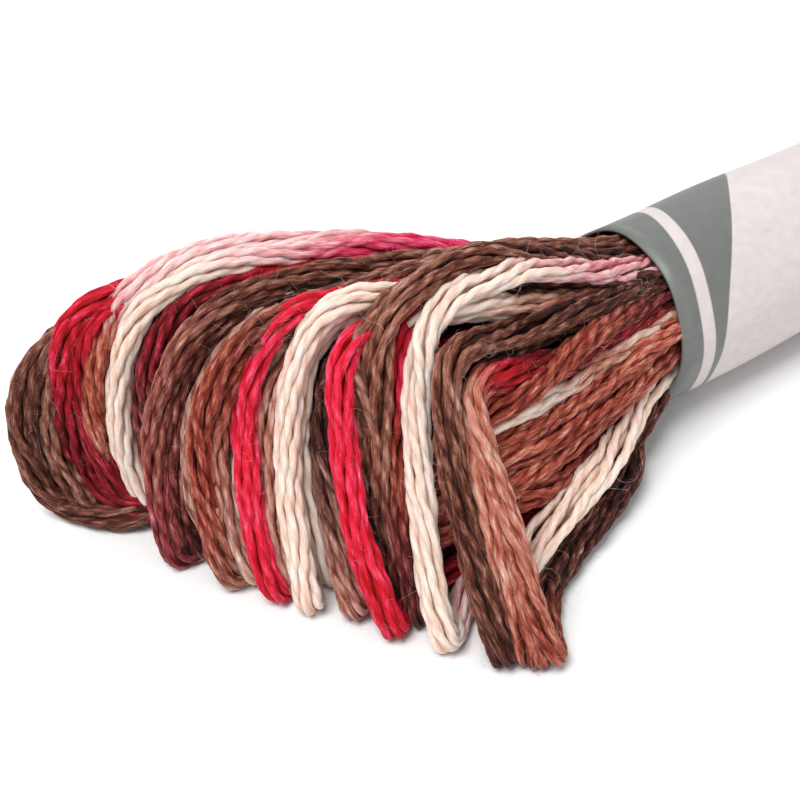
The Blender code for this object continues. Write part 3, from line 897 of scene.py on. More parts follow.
@dataclass(frozen=True)
class Contour:
    """A printed line round the band, nearest the rim at one clock angle and furthest opposite it.

    Attributes:
        start: How far from the rim it is where it is nearest, in millimetres.
        swing: How much further it is a quarter turn on.
        power: How soon it moves away from the rim.
        nearest: Where it is nearest, in degrees up from the front.
    """

    start: float
    swing: float
    power: float
    nearest: float

    def draw(self, nodes: Nodes, front: Socket, rise: Socket) -> Socket:
        """Works out how far from the rim the line runs.

        Args:
            nodes: The material's nodes.
            front: How far a point faces the front, of the band's radius.
            rise: How far it is above the axis, of the band's radius.

        Returns:
            The distance in millimetres.
        """
        angle = math.radians(self.nearest)
        lean = nodes.math("MULTIPLY_ADD", front, -math.cos(angle), 1.0)
        lean = nodes.math("MAXIMUM", nodes.math("MULTIPLY_ADD", rise, -math.sin(angle), lean), 0.0)
        return nodes.math("MULTIPLY_ADD", nodes.math("POWER", lean, self.power), self.swing, self.start)


@dataclass(frozen=True)
class PaperFinish:
    """Smooth printed paper: grey-green with a white stripe and a plain white panel.

    Attributes:
        grey: The ground colour, as linear light.
        white: The colour of the stripe and the panel, as linear light.
        roughness: The shader's roughness.
        specular: How much it shines.
        stripe_width: The width of the stripe, in millimetres.
        edge: How soft a printed edge is, in millimetres to either side.
        fibre_across: How fine the paper's fibres are across.
        fibre_along: How fine they are along.
        fibre_depth: How much they change the shade.
        bump: How much of their relief is felt.
        relief: Their full rise, in millimetres.
        stripe: The middle line of the stripe.
        panel: The edge of the panel.
    """

    grey: Colour = (0.148, 0.155, 0.146)
    white: Colour = (0.63, 0.565, 0.565)
    roughness: float = 0.42
    specular: float = 0.4
    stripe_width: float = 0.72
    edge: float = 0.04
    fibre_across: float = 1.6
    fibre_along: float = 3.4
    fibre_depth: float = 0.34
    bump: float = 0.12
    relief: float = 0.02
    stripe: Contour = Contour(1.3, 1.4, 1.0, 12.0)
    panel: Contour = Contour(2.2, 3.4, 1.2, -10.0)

    def make(self, fibres: bpy.types.NodeTree) -> bpy.types.Material:
        """The material, whose print is laid out from each rim of the band.

        Args:
            fibres: The group that draws the paper's fibres.

        Returns:
            The material.
        """
        material, nodes, shader = blank_material("printed_paper")
        place = nodes.add("ShaderNodeTexCoord").outputs["Object"]
        printed = nodes.add("ShaderNodeMix", data_type="RGBA")
        nodes.fill(printed, {"Factor": self._print(nodes, place), MIX_FIRST: (*self.grey, 1.0),
                             MIX_SECOND: (*self.white, 1.0)})
        grain = nodes.add("ShaderNodeGroup", node_tree=fibres)
        nodes.fill(grain, {"Lay": nodes.scaled(place, 1 / MM), "Across": self.fibre_across,
                           "Along": self.fibre_along, "Depth": self.fibre_depth})
        nodes.fill(shader, {
            "Base Color": nodes.scaled(printed.outputs[MIX_RESULT], grain.outputs["Shade"]),
            "Normal": nodes.relief(grain.outputs["Height"], self.bump, self.relief),
            "Roughness": self.roughness,
            "Specular IOR Level": self.specular,
        })
        return material

    def _print(self, nodes: Nodes, place: Socket) -> Socket:
        """Where the print is white.

        Args:
            nodes: The material's nodes.
            place: Where a point is in the frame of the model.

        Returns:
            The socket of the mask.
        """
        split = nodes.add("ShaderNodeSeparateXYZ")
        nodes.fill(split, {0: place})
        x, y, z = split.outputs
        from_rim = nodes.math("SUBTRACT", -RIM_X, nodes.math("DIVIDE", nodes.math("ABSOLUTE", x), MM))
        front = nodes.math("DIVIDE", y, -BAND_RADIUS * MM)
        rise = nodes.math("DIVIDE", nodes.math("SUBTRACT", z, AXIS_Z * MM), BAND_RADIUS * MM)
        off_stripe = nodes.math("SUBTRACT", from_rim, self.stripe.draw(nodes, front, rise))
        in_stripe = nodes.math("SUBTRACT", self.stripe_width / 2, nodes.math("ABSOLUTE", off_stripe))
        in_panel = nodes.math("SUBTRACT", from_rim, self.panel.draw(nodes, front, rise))
        masks = [nodes.ramp(inside, -self.edge, self.edge, "LINEAR") for inside in (in_stripe, in_panel)]
        return nodes.math("MAXIMUM", *masks)


# ---------------------------------------------------------------------------------------------
# Spinning the floss
# ---------------------------------------------------------------------------------------------


@dataclass(frozen=True)
class Gauge:
    """How one floss is made up: strands of two plies, laid side by side, in millimetres.

    Attributes:
        ring_strands: How many strands lie round the middle.
        ring_radius: How far they lie from it.
        lobe_radius: The radius of one ply.
        lobe_offset: How far a ply's middle is from its strand's.
        corners: Where the section of two plies has its corners, in degrees.
        round_radius: The radius of a strand that is modelled plain.
        round_sides: How many sides it has.
        ply_turn: The length of one turn of the plies.
        ply_steps: The fewest stations in a turn.
        lay_turn: The length of one turn of the strands about each other.
        close_step: The spacing of stations where a loop shows most.
        top_step: The spacing on the rest of a loop's front.
        coarse_step: The spacing on a hidden return.
        plain_step: The spacing on a plain floss where it bends.
        run_step: The spacing on a plain floss where it is straight.
        floor_z: How low the middle of a strand can lie.
        floor_play: The most that chance adds to that.
        ply_shade: How strong the painted shade in the groove between two plies is.
        core_start: How far from the middle of the floss a point starts to get painted shade.
        core_fade: How much nearer the middle that painted shade is full.
    """

    ring_strands: int = 6
    ring_radius: float = 0.335
    lobe_radius: float = 0.15
    lobe_offset: float = 0.06
    corners: tuple[float, ...] = (0.0, 50.0, 90.0, 130.0, 180.0, 230.0, 270.0, 310.0)
    round_radius: float = 0.22
    round_sides: int = 5
    ply_turn: float = 2.1
    ply_steps: float = 8.0
    lay_turn: float = 20.0
    close_step: float = 0.225
    top_step: float = 0.29
    coarse_step: float = 0.55
    plain_step: float = 1.1
    run_step: float = 2.4
    floor_z: float = 0.22
    floor_play: float = 0.02
    ply_shade: float = 0.5
    core_start: float = 0.5
    core_fade: float = 0.25

    def lobe(self, angle: float) -> float:
        """The radius of the two-ply section at an angle from its long axis."""
        across = self.lobe_offset * math.sin(angle)
        return self.lobe_offset * abs(math.cos(angle)) + math.sqrt(self.lobe_radius**2 - across**2)

    def section(self, detail: Detail) -> list[Spot]:
        """The corners of a strand's section.

        Args:
            detail: How finely the strand is modelled.

        Returns:
            Places across the strand.
        """
        if detail is Detail.PLAIN:
            return polygon(self.round_sides, self.round_radius)
        angles = [math.radians(corner) for corner in self.corners]
        return [(self.lobe(a) * math.cos(a), self.lobe(a) * math.sin(a)) for a in angles]


@dataclass(frozen=True)
class Unevenness:
    """How unevenly a floss is laid, as swings or as spans that chance picks from.

    Attributes:
        side_sway: The swing of the whole floss to its side.
        up_sway: Its swing up and down.
        angle: The swing of a strand round the middle, in radians.
        radius: The swing of its distance from the middle, of that distance.
        core: The swing of the middle strand.
        tilt: The swing of the plies' turn, in radians.
        width: The swing of a strand's width, of that width.
        depth: The swing of its dye's depth, of that depth.
        lay_turn: The span of the strands' turns, of the usual length.
        ply_turn: The span of the plies' turns, of the usual length.
        strand_width: The span of the strands' widths, of the usual width.
        strand_depth: The span of the dye's depth from strand to strand.
        dye_shift: The span over which a dye begins from strand to strand, in way points.
        seeds: The span of the strands' places in the fibre noise.
    """

    side_sway: Swing = (0.08, 9.0)
    up_sway: Swing = (0.08, 8.0)
    angle: Swing = (0.24, 5.0)
    radius: Swing = (0.11, 4.0)
    core: Swing = (0.07, 6.0)
    tilt: Swing = (0.5, 3.0)
    width: Swing = (0.05, 2.3)
    depth: Swing = (0.1, 6.0)
    lay_turn: Span = (0.8, 1.4)
    ply_turn: Span = (0.92, 1.1)
    strand_width: Span = (0.95, 1.05)
    strand_depth: Span = (-0.1, 0.1)
    dye_shift: Span = (-0.15, 0.15)
    seeds: Span = (0, 50)


class Stored(Enum):
    """The kinds of value that a mesh keeps on its points, with the name of the value's field."""

    NUMBER = ("FLOAT", "value")
    VECTOR = ("FLOAT_VECTOR", "vector")
    COLOUR = ("FLOAT_COLOR", "color")


@dataclass(frozen=True)
class Spun:
    """A floss that is made, for loose fibres to stand on.

    Attributes:
        route: Its middle line.
        lines: Where its strands run, by strand and station.
        colours: Its colour at each station.
    """

    route: Route
    lines: np.ndarray
    colours: np.ndarray


def polygon(sides: int, radius: float) -> list[Spot]:
    """The corners of an even polygon.

    Args:
        sides: How many sides it has.
        radius: How far its corners are from its middle.

    Returns:
        The corners.
    """
    angles = [TURN * number / sides for number in range(sides)]
    return [(radius * math.cos(a), radius * math.sin(a)) for a in angles]


def with_one(rows: np.ndarray) -> np.ndarray:
    """Rows of three numbers with a fourth in each, which is 1."""
    return np.concatenate([rows, np.ones((*rows.shape[:-1], 1))], axis=-1)


def flat(values: np.ndarray) -> np.ndarray:
    """The values as one plain row of short floats."""
    return values.astype(np.float32).ravel()


def store(mesh: bpy.types.Mesh, name: str, kind: Stored, values: np.ndarray) -> None:
    """Keeps a value on each point of a mesh.

    Args:
        mesh: The mesh.
        name: What the value is called.
        kind: What kind of value it is.
        values: The values, in the order of the points.
    """
    data_type, key = kind.value
    attribute = mesh.attributes.new(name, data_type, "POINT")
    attribute.data.foreach_set(key, flat(values))


def add_line(curve: bpy.types.Curve, line: np.ndarray) -> bpy.types.Spline:
    """Adds a line to a curve.

    Args:
        curve: The curve.
        line: The line's places, in millimetres.

    Returns:
        The spline.
    """
    spline = curve.splines.new("POLY")
    spline.points.add(len(line) - 1)
    spline.points.foreach_set("co", flat(with_one(line * MM)))
    return spline


def section_curve(name: str, corners: list[Spot]) -> bpy.types.Object:
    """A closed section, to be swept along lines.

    Args:
        name: The curve's name.
        corners: Its corners, in millimetres.

    Returns:
        The object that holds it.
    """
    curve = bpy.data.curves.new(name, "CURVE")
    curve.dimensions = "2D"
    outline = add_line(curve, np.array([(across, up, 0.0) for across, up in corners]))
    outline.use_cyclic_u = True
    holder = bpy.data.objects.new(curve.name, curve)
    bpy.context.scene.collection.objects.link(holder)
    return holder


def sweeping_curve(name: str, section: bpy.types.Object) -> bpy.types.Curve:
    """A curve, still empty, that sweeps a section along its lines.

    Args:
        name: The curve's name.
        section: The object that holds the section.

    Returns:
        The curve.
    """
    curve = bpy.data.curves.new(name, "CURVE")
    curve.dimensions = "3D"
    curve.twist_mode = "MINIMUM"
    curve.bevel_mode = "OBJECT"
    curve.bevel_object = section
    return curve


def swept_mesh(curve: bpy.types.Curve) -> bpy.types.Mesh:
    """The mesh that a curve's sweep makes.

    Args:
        curve: The curve, which is removed.

    Returns:
        The mesh, its points in order along each line.
    """
    name = curve.name
    holder = bpy.data.objects.new(name, curve)
    bpy.context.scene.collection.objects.link(holder)
    bpy.context.view_layer.update()
    graph = bpy.context.evaluated_depsgraph_get()
    mesh = bpy.data.meshes.new_from_object(holder.evaluated_get(graph))
    bpy.data.objects.remove(holder)
    bpy.data.curves.remove(curve)
    mesh.name = name
    return mesh


def close_ends(mesh: bpy.types.Mesh) -> None:
    """Closes the open ends of every swept line, turns the faces outwards and smooths them.

    Args:
        mesh: The mesh of the sweep.
    """
    work = bmesh.new()
    work.from_mesh(mesh)
    rims = [edge for edge in work.edges if edge.is_boundary]
    bmesh.ops.holes_fill(work, edges=rims, sides=0)
    bmesh.ops.recalc_face_normals(work, faces=work.faces)
    work.to_mesh(mesh)
    work.free()
    mesh.shade_smooth()


def add_piece(name: str, mesh: bpy.types.Mesh, material: bpy.types.Material) -> bpy.types.Object:
    """Puts a finished mesh in the scene.

    Args:
        name: The piece's name.
        mesh: Its mesh, already in place.
        material: Its finish.

    Returns:
        The piece.
    """
    mesh.materials.clear()
    mesh.materials.append(material)
    piece = bpy.data.objects.new(name, mesh)
    bpy.context.scene.collection.objects.link(piece)
    return piece


def join_skein(piece: bpy.types.Object) -> None:
    """Makes a piece of floss part of the hank.

    Args:
        piece: The piece.
    """
    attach(piece, "root")
    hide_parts("hank")
    LOG.info("%s: %d triangles", piece.name, triangles(piece))


def triangles(piece: bpy.types.Object) -> int:
    """How many triangles a mesh has once its faces are split."""
    return sum(face.loop_total - 2 for face in piece.data.polygons)


class Spinner:
    """Makes flosses as meshes from their routes."""

    def __init__(self, gauge: Gauge, materials: dict[Detail, bpy.types.Material]) -> None:
        """Takes the make-up of a floss and its finishes.

        Args:
            gauge: Sizes of the floss.
            materials: The finish of each kind of floss.
        """
        self.gauge = gauge
        self.uneven = Unevenness()
        self.materials = materials
        self.profiles = {
            detail: section_curve("section_" + detail.value, gauge.section(detail)) for detail in Detail
        }
        self.made: list[Spun] = []

    def strand_lines(
        self,
        route: Route,
        rng: np.random.Generator,
        detail: Detail,
        spread: SpreadRun,
        strays: tuple[Stray, ...],
    ) -> np.ndarray:
        """Where each strand of a floss runs.

        Args:
            route: The middle line of the floss.
            rng: Where the chance comes from.
            detail: How finely it is modelled. A plain floss has no middle strand.
            spread: Pairs of way point number and how far the strands open there, 1 for a closed floss.
            strays: Strands that stand off for a while.

        Returns:
            Places by strand and station, in millimetres.
        """
        gauge, uneven, along = self.gauge, self.uneven, route.along
        start = rng.uniform(0, TURN)
        turn = rng.choice((-1.0, 1.0)) * TURN * along / (gauge.lay_turn * rng.uniform(*uneven.lay_turn))
        sway = wander(along, uneven.side_sway, rng)[:, None] * route.sides
        sway = sway + wander(along, uneven.up_sway, rng)[:, None] * route.ups
        opened = np.interp(route.marks, *zip(*spread))
        strands = gauge.ring_strands + 1 if detail is Detail.CLOSE else gauge.ring_strands
        lines = []
        for number in range(strands):
            if number < gauge.ring_strands:
                angle = start + TURN * number / gauge.ring_strands + turn + wander(along, uneven.angle, rng)
                radius = gauge.ring_radius * (1 + wander(along, uneven.radius, rng))
            else:
                angle = start + turn
                radius = wander(along, uneven.core, rng)
            line = route.places + sway
            line = line + (radius * opened * np.cos(angle))[:, None] * route.sides
            line = line + (radius / np.sqrt(opened) * np.sin(angle))[:, None] * route.ups
            for stray in strays:
                if stray.strand == number:
                    near = np.clip(1 - np.abs(route.marks - stray.mark) / stray.reach, 0, 1)
                    line = line + ease(near)[:, None] * np.array(stray.off)
            lines.append(line)
        found = np.array(lines)
        found[..., 2] = np.maximum(found[..., 2], gauge.floor_z + gauge.floor_play * rng.random())
        return found

    def spin(
        self,
        name: str,
        route: Route,
        dyes: DyeRun,
        detail: Detail = Detail.CLOSE,
        spread: SpreadRun = CLOSED,
        strays: tuple[Stray, ...] = (),
        seed: int = 0,
    ) -> bpy.types.Object:
        """Makes one floss.

        Args:
            name: The piece's name.
            route: Its middle line.
            dyes: The dyes along it, by way point number.
            detail: How finely it is modelled.
            spread: How far its strands open, by way point number.
            strays: Strands that stand off.
            seed: The start of its chance.

        Returns:
            The finished piece.
        """
        gauge, uneven = self.gauge, self.uneven
        rng = np.random.default_rng(seed)
        lines = self.strand_lines(route, rng, detail, spread, strays)
        curve = sweeping_curve(name, self.profiles[detail])
        turn = gauge.ply_turn * rng.uniform(*uneven.ply_turn)
        gaps = np.diff(route.along)
        turns = TURN * gaps / np.maximum(turn, gauge.ply_steps * gaps)
        twist = np.concatenate([[0.0], np.cumsum(turns)])
        for line in lines:
            spline = add_line(curve, line)
            tilts = rng.uniform(0, math.pi) + wander(route.along, uneven.tilt, rng) - twist
            spline.points.foreach_set("tilt", flat(tilts))
            width = rng.uniform(*uneven.strand_width) * (1 + wander(route.along, uneven.width, rng))
            spline.points.foreach_set("radius", flat(width))
        mesh = swept_mesh(curve)
        shifts = rng.uniform(*uneven.dye_shift, len(lines))
        shades = np.array([dye_along(route.marks + shift, dyes) for shift in shifts])
        self._dress(mesh, lines, route, shades, rng, detail)
        close_ends(mesh)
        if detail is Detail.CLOSE or route.far:
            self.made.append(Spun(route, lines, shades.mean(axis=0)))
        return add_piece(name, mesh, self.materials[detail])

    def _dress(
        self,
        mesh: bpy.types.Mesh,
        lines: np.ndarray,
        route: Route,
        shades: np.ndarray,
        rng: np.random.Generator,
        detail: Detail,
    ) -> None:
        """Keeps on each point its dye, its place on the strand and how deep it lies in a groove, for
        painted shade.

        Args:
            mesh: The mesh of the swept strands.
            lines: Where the strands run, by strand and station.
            route: The middle line of the floss.
            shades: The colours, by strand and station.
            rng: Where the chance comes from.
            detail: How finely the floss is modelled. On a plain one the finish draws the grooves and their
                painted shade.
        """
        strands, stations, _ = lines.shape
        grid = (strands, stations, len(mesh.vertices) // (strands * stations))
        row = np.empty(len(mesh.vertices) * 3, np.float32)
        mesh.vertices.foreach_get("co", row)
        places = row.reshape(*grid, 3) / MM
        off = places - lines[:, :, None, :]
        across = np.einsum("jikc,ic->jik", off, route.sides)
        upward = np.einsum("jikc,ic->jik", off, route.ups)
        along = np.broadcast_to(route.along[None, :, None], grid)
        seeds = rng.uniform(*self.uneven.seeds, strands)
        store(mesh, "strand", Stored.NUMBER, np.broadcast_to(seeds[:, None, None], grid))
        store(mesh, "lay", Stored.VECTOR, np.stack([across, upward, along], axis=-1))
        # The groove mask, which the finish turns into painted shade.
        if detail is Detail.CLOSE:
            store(mesh, "groove", Stored.NUMBER, self._grooves(places, lines))
        depths = [
            1 + wander(route.along, self.uneven.depth, rng) + rng.uniform(*self.uneven.strand_depth)
            for _ in lines
        ]
        colour = np.clip(shades, 0, 1) ** np.array(depths)[..., None]
        store(mesh, "dye", Stored.COLOUR, with_one(np.broadcast_to(colour[:, :, None, :], (*grid, 3))))

    def _grooves(self, places: np.ndarray, lines: np.ndarray) -> np.ndarray:
        """How deep each point lies between the plies of its strand and between the strands, which sets its
        painted shade.

        Args:
            places: The points, by strand, station and corner.
            lines: Where the strands run, by strand and station.

        Returns:
            A value for each point, 0 on the outside.
        """
        gauge = self.gauge
        low, high = gauge.lobe(math.pi / 2), gauge.lobe(0)
        out = np.linalg.norm(places - lines[:, :, None, :], axis=-1)
        between_plies = gauge.ply_shade * np.clip((high - out) / (high - low), 0, 1)
        from_middle = np.linalg.norm(places - lines.mean(axis=0)[None, :, None, :], axis=-1)
        return between_plies + np.clip((gauge.core_start - from_middle) / gauge.core_fade, 0, 1)

    def clear(self) -> None:
        """Removes the sections once every floss is made."""
        for holder in self.profiles.values():
            bpy.data.objects.remove(holder)


# ---------------------------------------------------------------------------------------------
# Sub-assemblies
# ---------------------------------------------------------------------------------------------


@dataclass
class NearFan:
    """The fan of loops at the near end and the passes that show on its flank.

    Attributes:
        spinner: What makes the flosses.
        loop_seed: The start of chance for the loops.
        pass_seed: The same for the passes.
        inner_seed: The same for the inner loops.
        inner_points: How many way points an inner loop has.
        inner_ease: Over how many way points it leaves and meets the band.
    """

    spinner: Spinner
    loop_seed: int = 100
    pass_seed: int = 150
    inner_seed: int = 180
    inner_points: int = 12
    inner_ease: int = 3

    def build(self) -> list[bpy.types.Object]:
        """Makes every loop, pass and inner loop.

        Returns:
            The pieces.
        """
        made = [self._loop(loop, self.loop_seed + number) for number, loop in enumerate(LOOPS)]
        made += [self._pass(turn, self.pass_seed + number) for number, turn in enumerate(PASSES)]
        made += [self._inner(inner, self.inner_seed + number) for number, inner in enumerate(INNERS)]
        for piece in made:
            join_skein(piece)
        return made

    def _loop(self, loop: Loop, seed: int) -> bpy.types.Object:
        """Makes one loop, finest where it turns over the top and down to its foot.

        Args:
            loop: The loop.
            seed: The start of its chance.

        Returns:
            The piece.
        """
        gauge = self.spinner.gauge
        points = loop.way_points()
        steps = []
        for stretch in range(len(points) - 1):
            shown_behind = loop.shown_return and stretch >= loop.FOOT_MARK
            if shown_behind or loop.CROWN_MARK <= stretch < loop.FOOT_MARK:
                step = gauge.close_step
            elif stretch <= loop.FOOT_MARK:
                step = gauge.top_step
            else:
                step = gauge.coarse_step
            steps.append(loop.coarseness * step)
        route = Route(points, steps, RIM_X)
        name = "loop_" + loop.name
        return self.spinner.spin(name, route, loop.dyes, Detail.CLOSE, loop.spread, loop.strays, seed)

    def _pass(self, turn: Pass, seed: int) -> bpy.types.Object:
        """Makes one pass of the flank."""
        route = Route(turn.way_points(), [self.spinner.gauge.close_step], RIM_X)
        return self.spinner.spin("pass_" + turn.name, route, turn.dyes, seed=seed)

    def _inner(self, inner: Inner, seed: int) -> bpy.types.Object:
        """Makes one inner loop, halfway between two loops and drawn in towards their middle.

        Args:
            inner: The inner loop.
            seed: The start of its chance.

        Returns:
            The piece.
        """
        named = {loop.name: loop for loop in LOOPS}
        ends = [resampled(named[name].way_points(), self.inner_points) for name in (inner.one, inner.other)]
        between = [(a + b) / 2 for a, b in zip(*ends)]
        middle = sum(between) / len(between)
        points = []
        for number, place in enumerate(between):
            from_end = min(number, len(between) - 1 - number)
            share = min(1.0, from_end / self.inner_ease)
            shift = inner.pull * unit(middle - place) + np.array((0.0, inner.sink, 0.0))
            points.append(tuple(place + share * shift))
        route = Route(points, [self.spinner.gauge.plain_step], RIM_X)
        name = f"inner_{inner.one}_{inner.other}_{round(10 * inner.pull):02d}"
        dyes = ((0, inner.dye), (self.inner_points, inner.dye))
        return self.spinner.spin(name, route, dyes, Detail.PLAIN, seed=seed)


@dataclass(frozen=True)
class Layer:
    """One layer of the loops past the band.

    Attributes:
        name: What its loops are called.
        loops: How many there are.
        size: How far out they lie, 1 at the surface.
    """

    name: str
    loops: int
    size: float


@dataclass
class FarRun:
    """The run past the band and the plain bunch of loops at its end.

    Attributes:
        spinner: What makes the flosses.
        layers: The layers of loops.
        rim_places: Where the first sections are, from the far rim.
        run_places: Where the others are, in the frame of the model.
        mouth_radius: The radius of the run inside the band.
        half_width: Half its width past the band.
        half_height: Half its height there.
        middle_z: How high its middle is there.
        swell_length: How far past the band it has its full size.
        end_x: Where the loops begin to turn back.
        twist: How far the run turns on its way, in degrees.
        reach: How far the lowest loops reach past end_x.
        extra_reach: How much further the highest one reaches.
        uneven_reach: The span of chance in that.
        least_rise: The least share of the half height that a loop's top has.
        crest: How far a loop's top stands above the run.
        core_lift: How much higher the end of a loop in the very middle would lie.
        splay: How far a loop leans out at its end, of its place across.
        bend: Way points round the end of a loop. Each has its shares of the reach, of the place
            across, of that lean and of the height, and how far it is let down.
        seed: The start of chance.
    """

    spinner: Spinner
    layers: tuple[Layer, ...] = (Layer("run", 12, 1.0), Layer("core", 6, 0.66))
    rim_places: tuple[float, ...] = (-2.2, 0.4, 4.0)
    run_places: tuple[float, ...] = (34.0, 46.0, 58.0, 70.0, 82.0, 90.0)
    mouth_radius: float = 3.2
    half_width: float = 4.25
    half_height: float = 3.5
    middle_z: float = 4.05
    swell_length: float = 6.0
    end_x: float = 92.0
    twist: float = 86.0
    reach: float = 9.3
    extra_reach: float = 6.4
    uneven_reach: Span = (-0.5, 0.5)
    least_rise: float = 0.45
    crest: float = 0.4
    core_lift: float = 2.6
    splay: float = 0.12
    bend: tuple[tuple[float, float, float, float, float], ...] = (
        (0.30, 0.98, 0.0, 1.0, 0.0),
        (0.72, 1.0, 0.6, 1.0, 0.2),
        (1.0, 1.0, 1.0, 0.5, 0.0),
        (0.76, 1.0, 0.6, 0.0, 0.0),
        (0.30, 0.98, 0.0, 0.0, 0.0),
    )
    seed: int = 300

    def build(self) -> list[bpy.types.Object]:
        """Makes the loops of the run.

        Returns:
            The pieces.
        """
        made = [self._loop(layer, number) for layer in self.layers for number in range(layer.loops)]
        for piece in made:
            join_skein(piece)
        return made

    def _loop(self, layer: Layer, number: int) -> bpy.types.Object:
        """Makes one loop, out along the run, round its end and back.

        Args:
            layer: The layer it belongs to.
            number: Which of its loops, from the far side to the near side.

        Returns:
            The piece.
        """
        size = layer.size
        rng = np.random.default_rng(self.seed + number + int(100 * size))
        clock = CIRCLE / 2 * (number + 0.5) / layer.loops
        places = [*(FAR_RIM_X + place for place in self.rim_places), *self.run_places]
        out = [self._section(clock, x, size) for x in places]
        home = [self._section(-clock, x, size) for x in reversed(places)]
        side = self.half_width * size * math.cos(math.radians(clock))
        rise = math.sin(math.radians(clock))
        reach = size * (self.reach + self.extra_reach * rise + rng.uniform(*self.uneven_reach))
        top = self.middle_z + self.half_height * size * max(rise, self.least_rise) + self.crest
        low = Loop.FOOT_Z + self.core_lift * (1 - size)
        lean = side * self.splay
        bend = [
            (self.end_x + ahead * reach, across * side + leaning * lean, up * top + (1 - up) * low - down)
            for ahead, across, leaning, up, down in self.bend
        ]
        gauge = self.spinner.gauge
        straight = [gauge.run_step] * (len(out) - 1)
        steps = straight + [gauge.plain_step] * (len(bend) + 1) + straight
        route = Route(out + bend + home, steps, 0.0)
        dyes = dye_walk(rng, route.marks[-1])
        name = f"{layer.name}_{number + 1:02d}"
        return self.spinner.spin(name, route, dyes, Detail.PLAIN, seed=self.seed + number)

    def _section(self, clock: float, x: float, size: float) -> Point:
        """A place on the section of the run, which swells past the band and turns slowly.

        Args:
            clock: Where the loop lies at the end of the run, in degrees.
            x: Place along the skein.
            size: How far out the loop lies, 1 at the surface.

        Returns:
            The place in millimetres.
        """
        swell = ease(min(1.0, max(0.0, (x - FAR_RIM_X) / self.swell_length)))
        wide = size * (self.mouth_radius + (self.half_width - self.mouth_radius) * swell)
        high = size * (self.mouth_radius + (self.half_height - self.mouth_radius) * swell)
        middle = AXIS_Z + (self.middle_z - AXIS_Z) * swell
        angle = math.radians(clock - self.twist * (self.end_x - x) / (self.end_x - FAR_RIM_X))
        return (x, wide * math.cos(angle), middle + high * math.sin(angle))


@dataclass(frozen=True)
class Nap:
    """One kind of loose fibre end.

    Attributes:
        name: What it is called.
        per_mm: How many there are on a millimetre of floss.
        points: How many points each has.
        least: The least length, in millimetres.
        spare: The mean of what chance adds to it.
        scale: How much larger than usual they are.
        far: Whether they lie on the run past the band.
    """

    name: str
    per_mm: float
    points: int
    least: float
    spare: float
    scale: float = 1.0
    far: bool = False


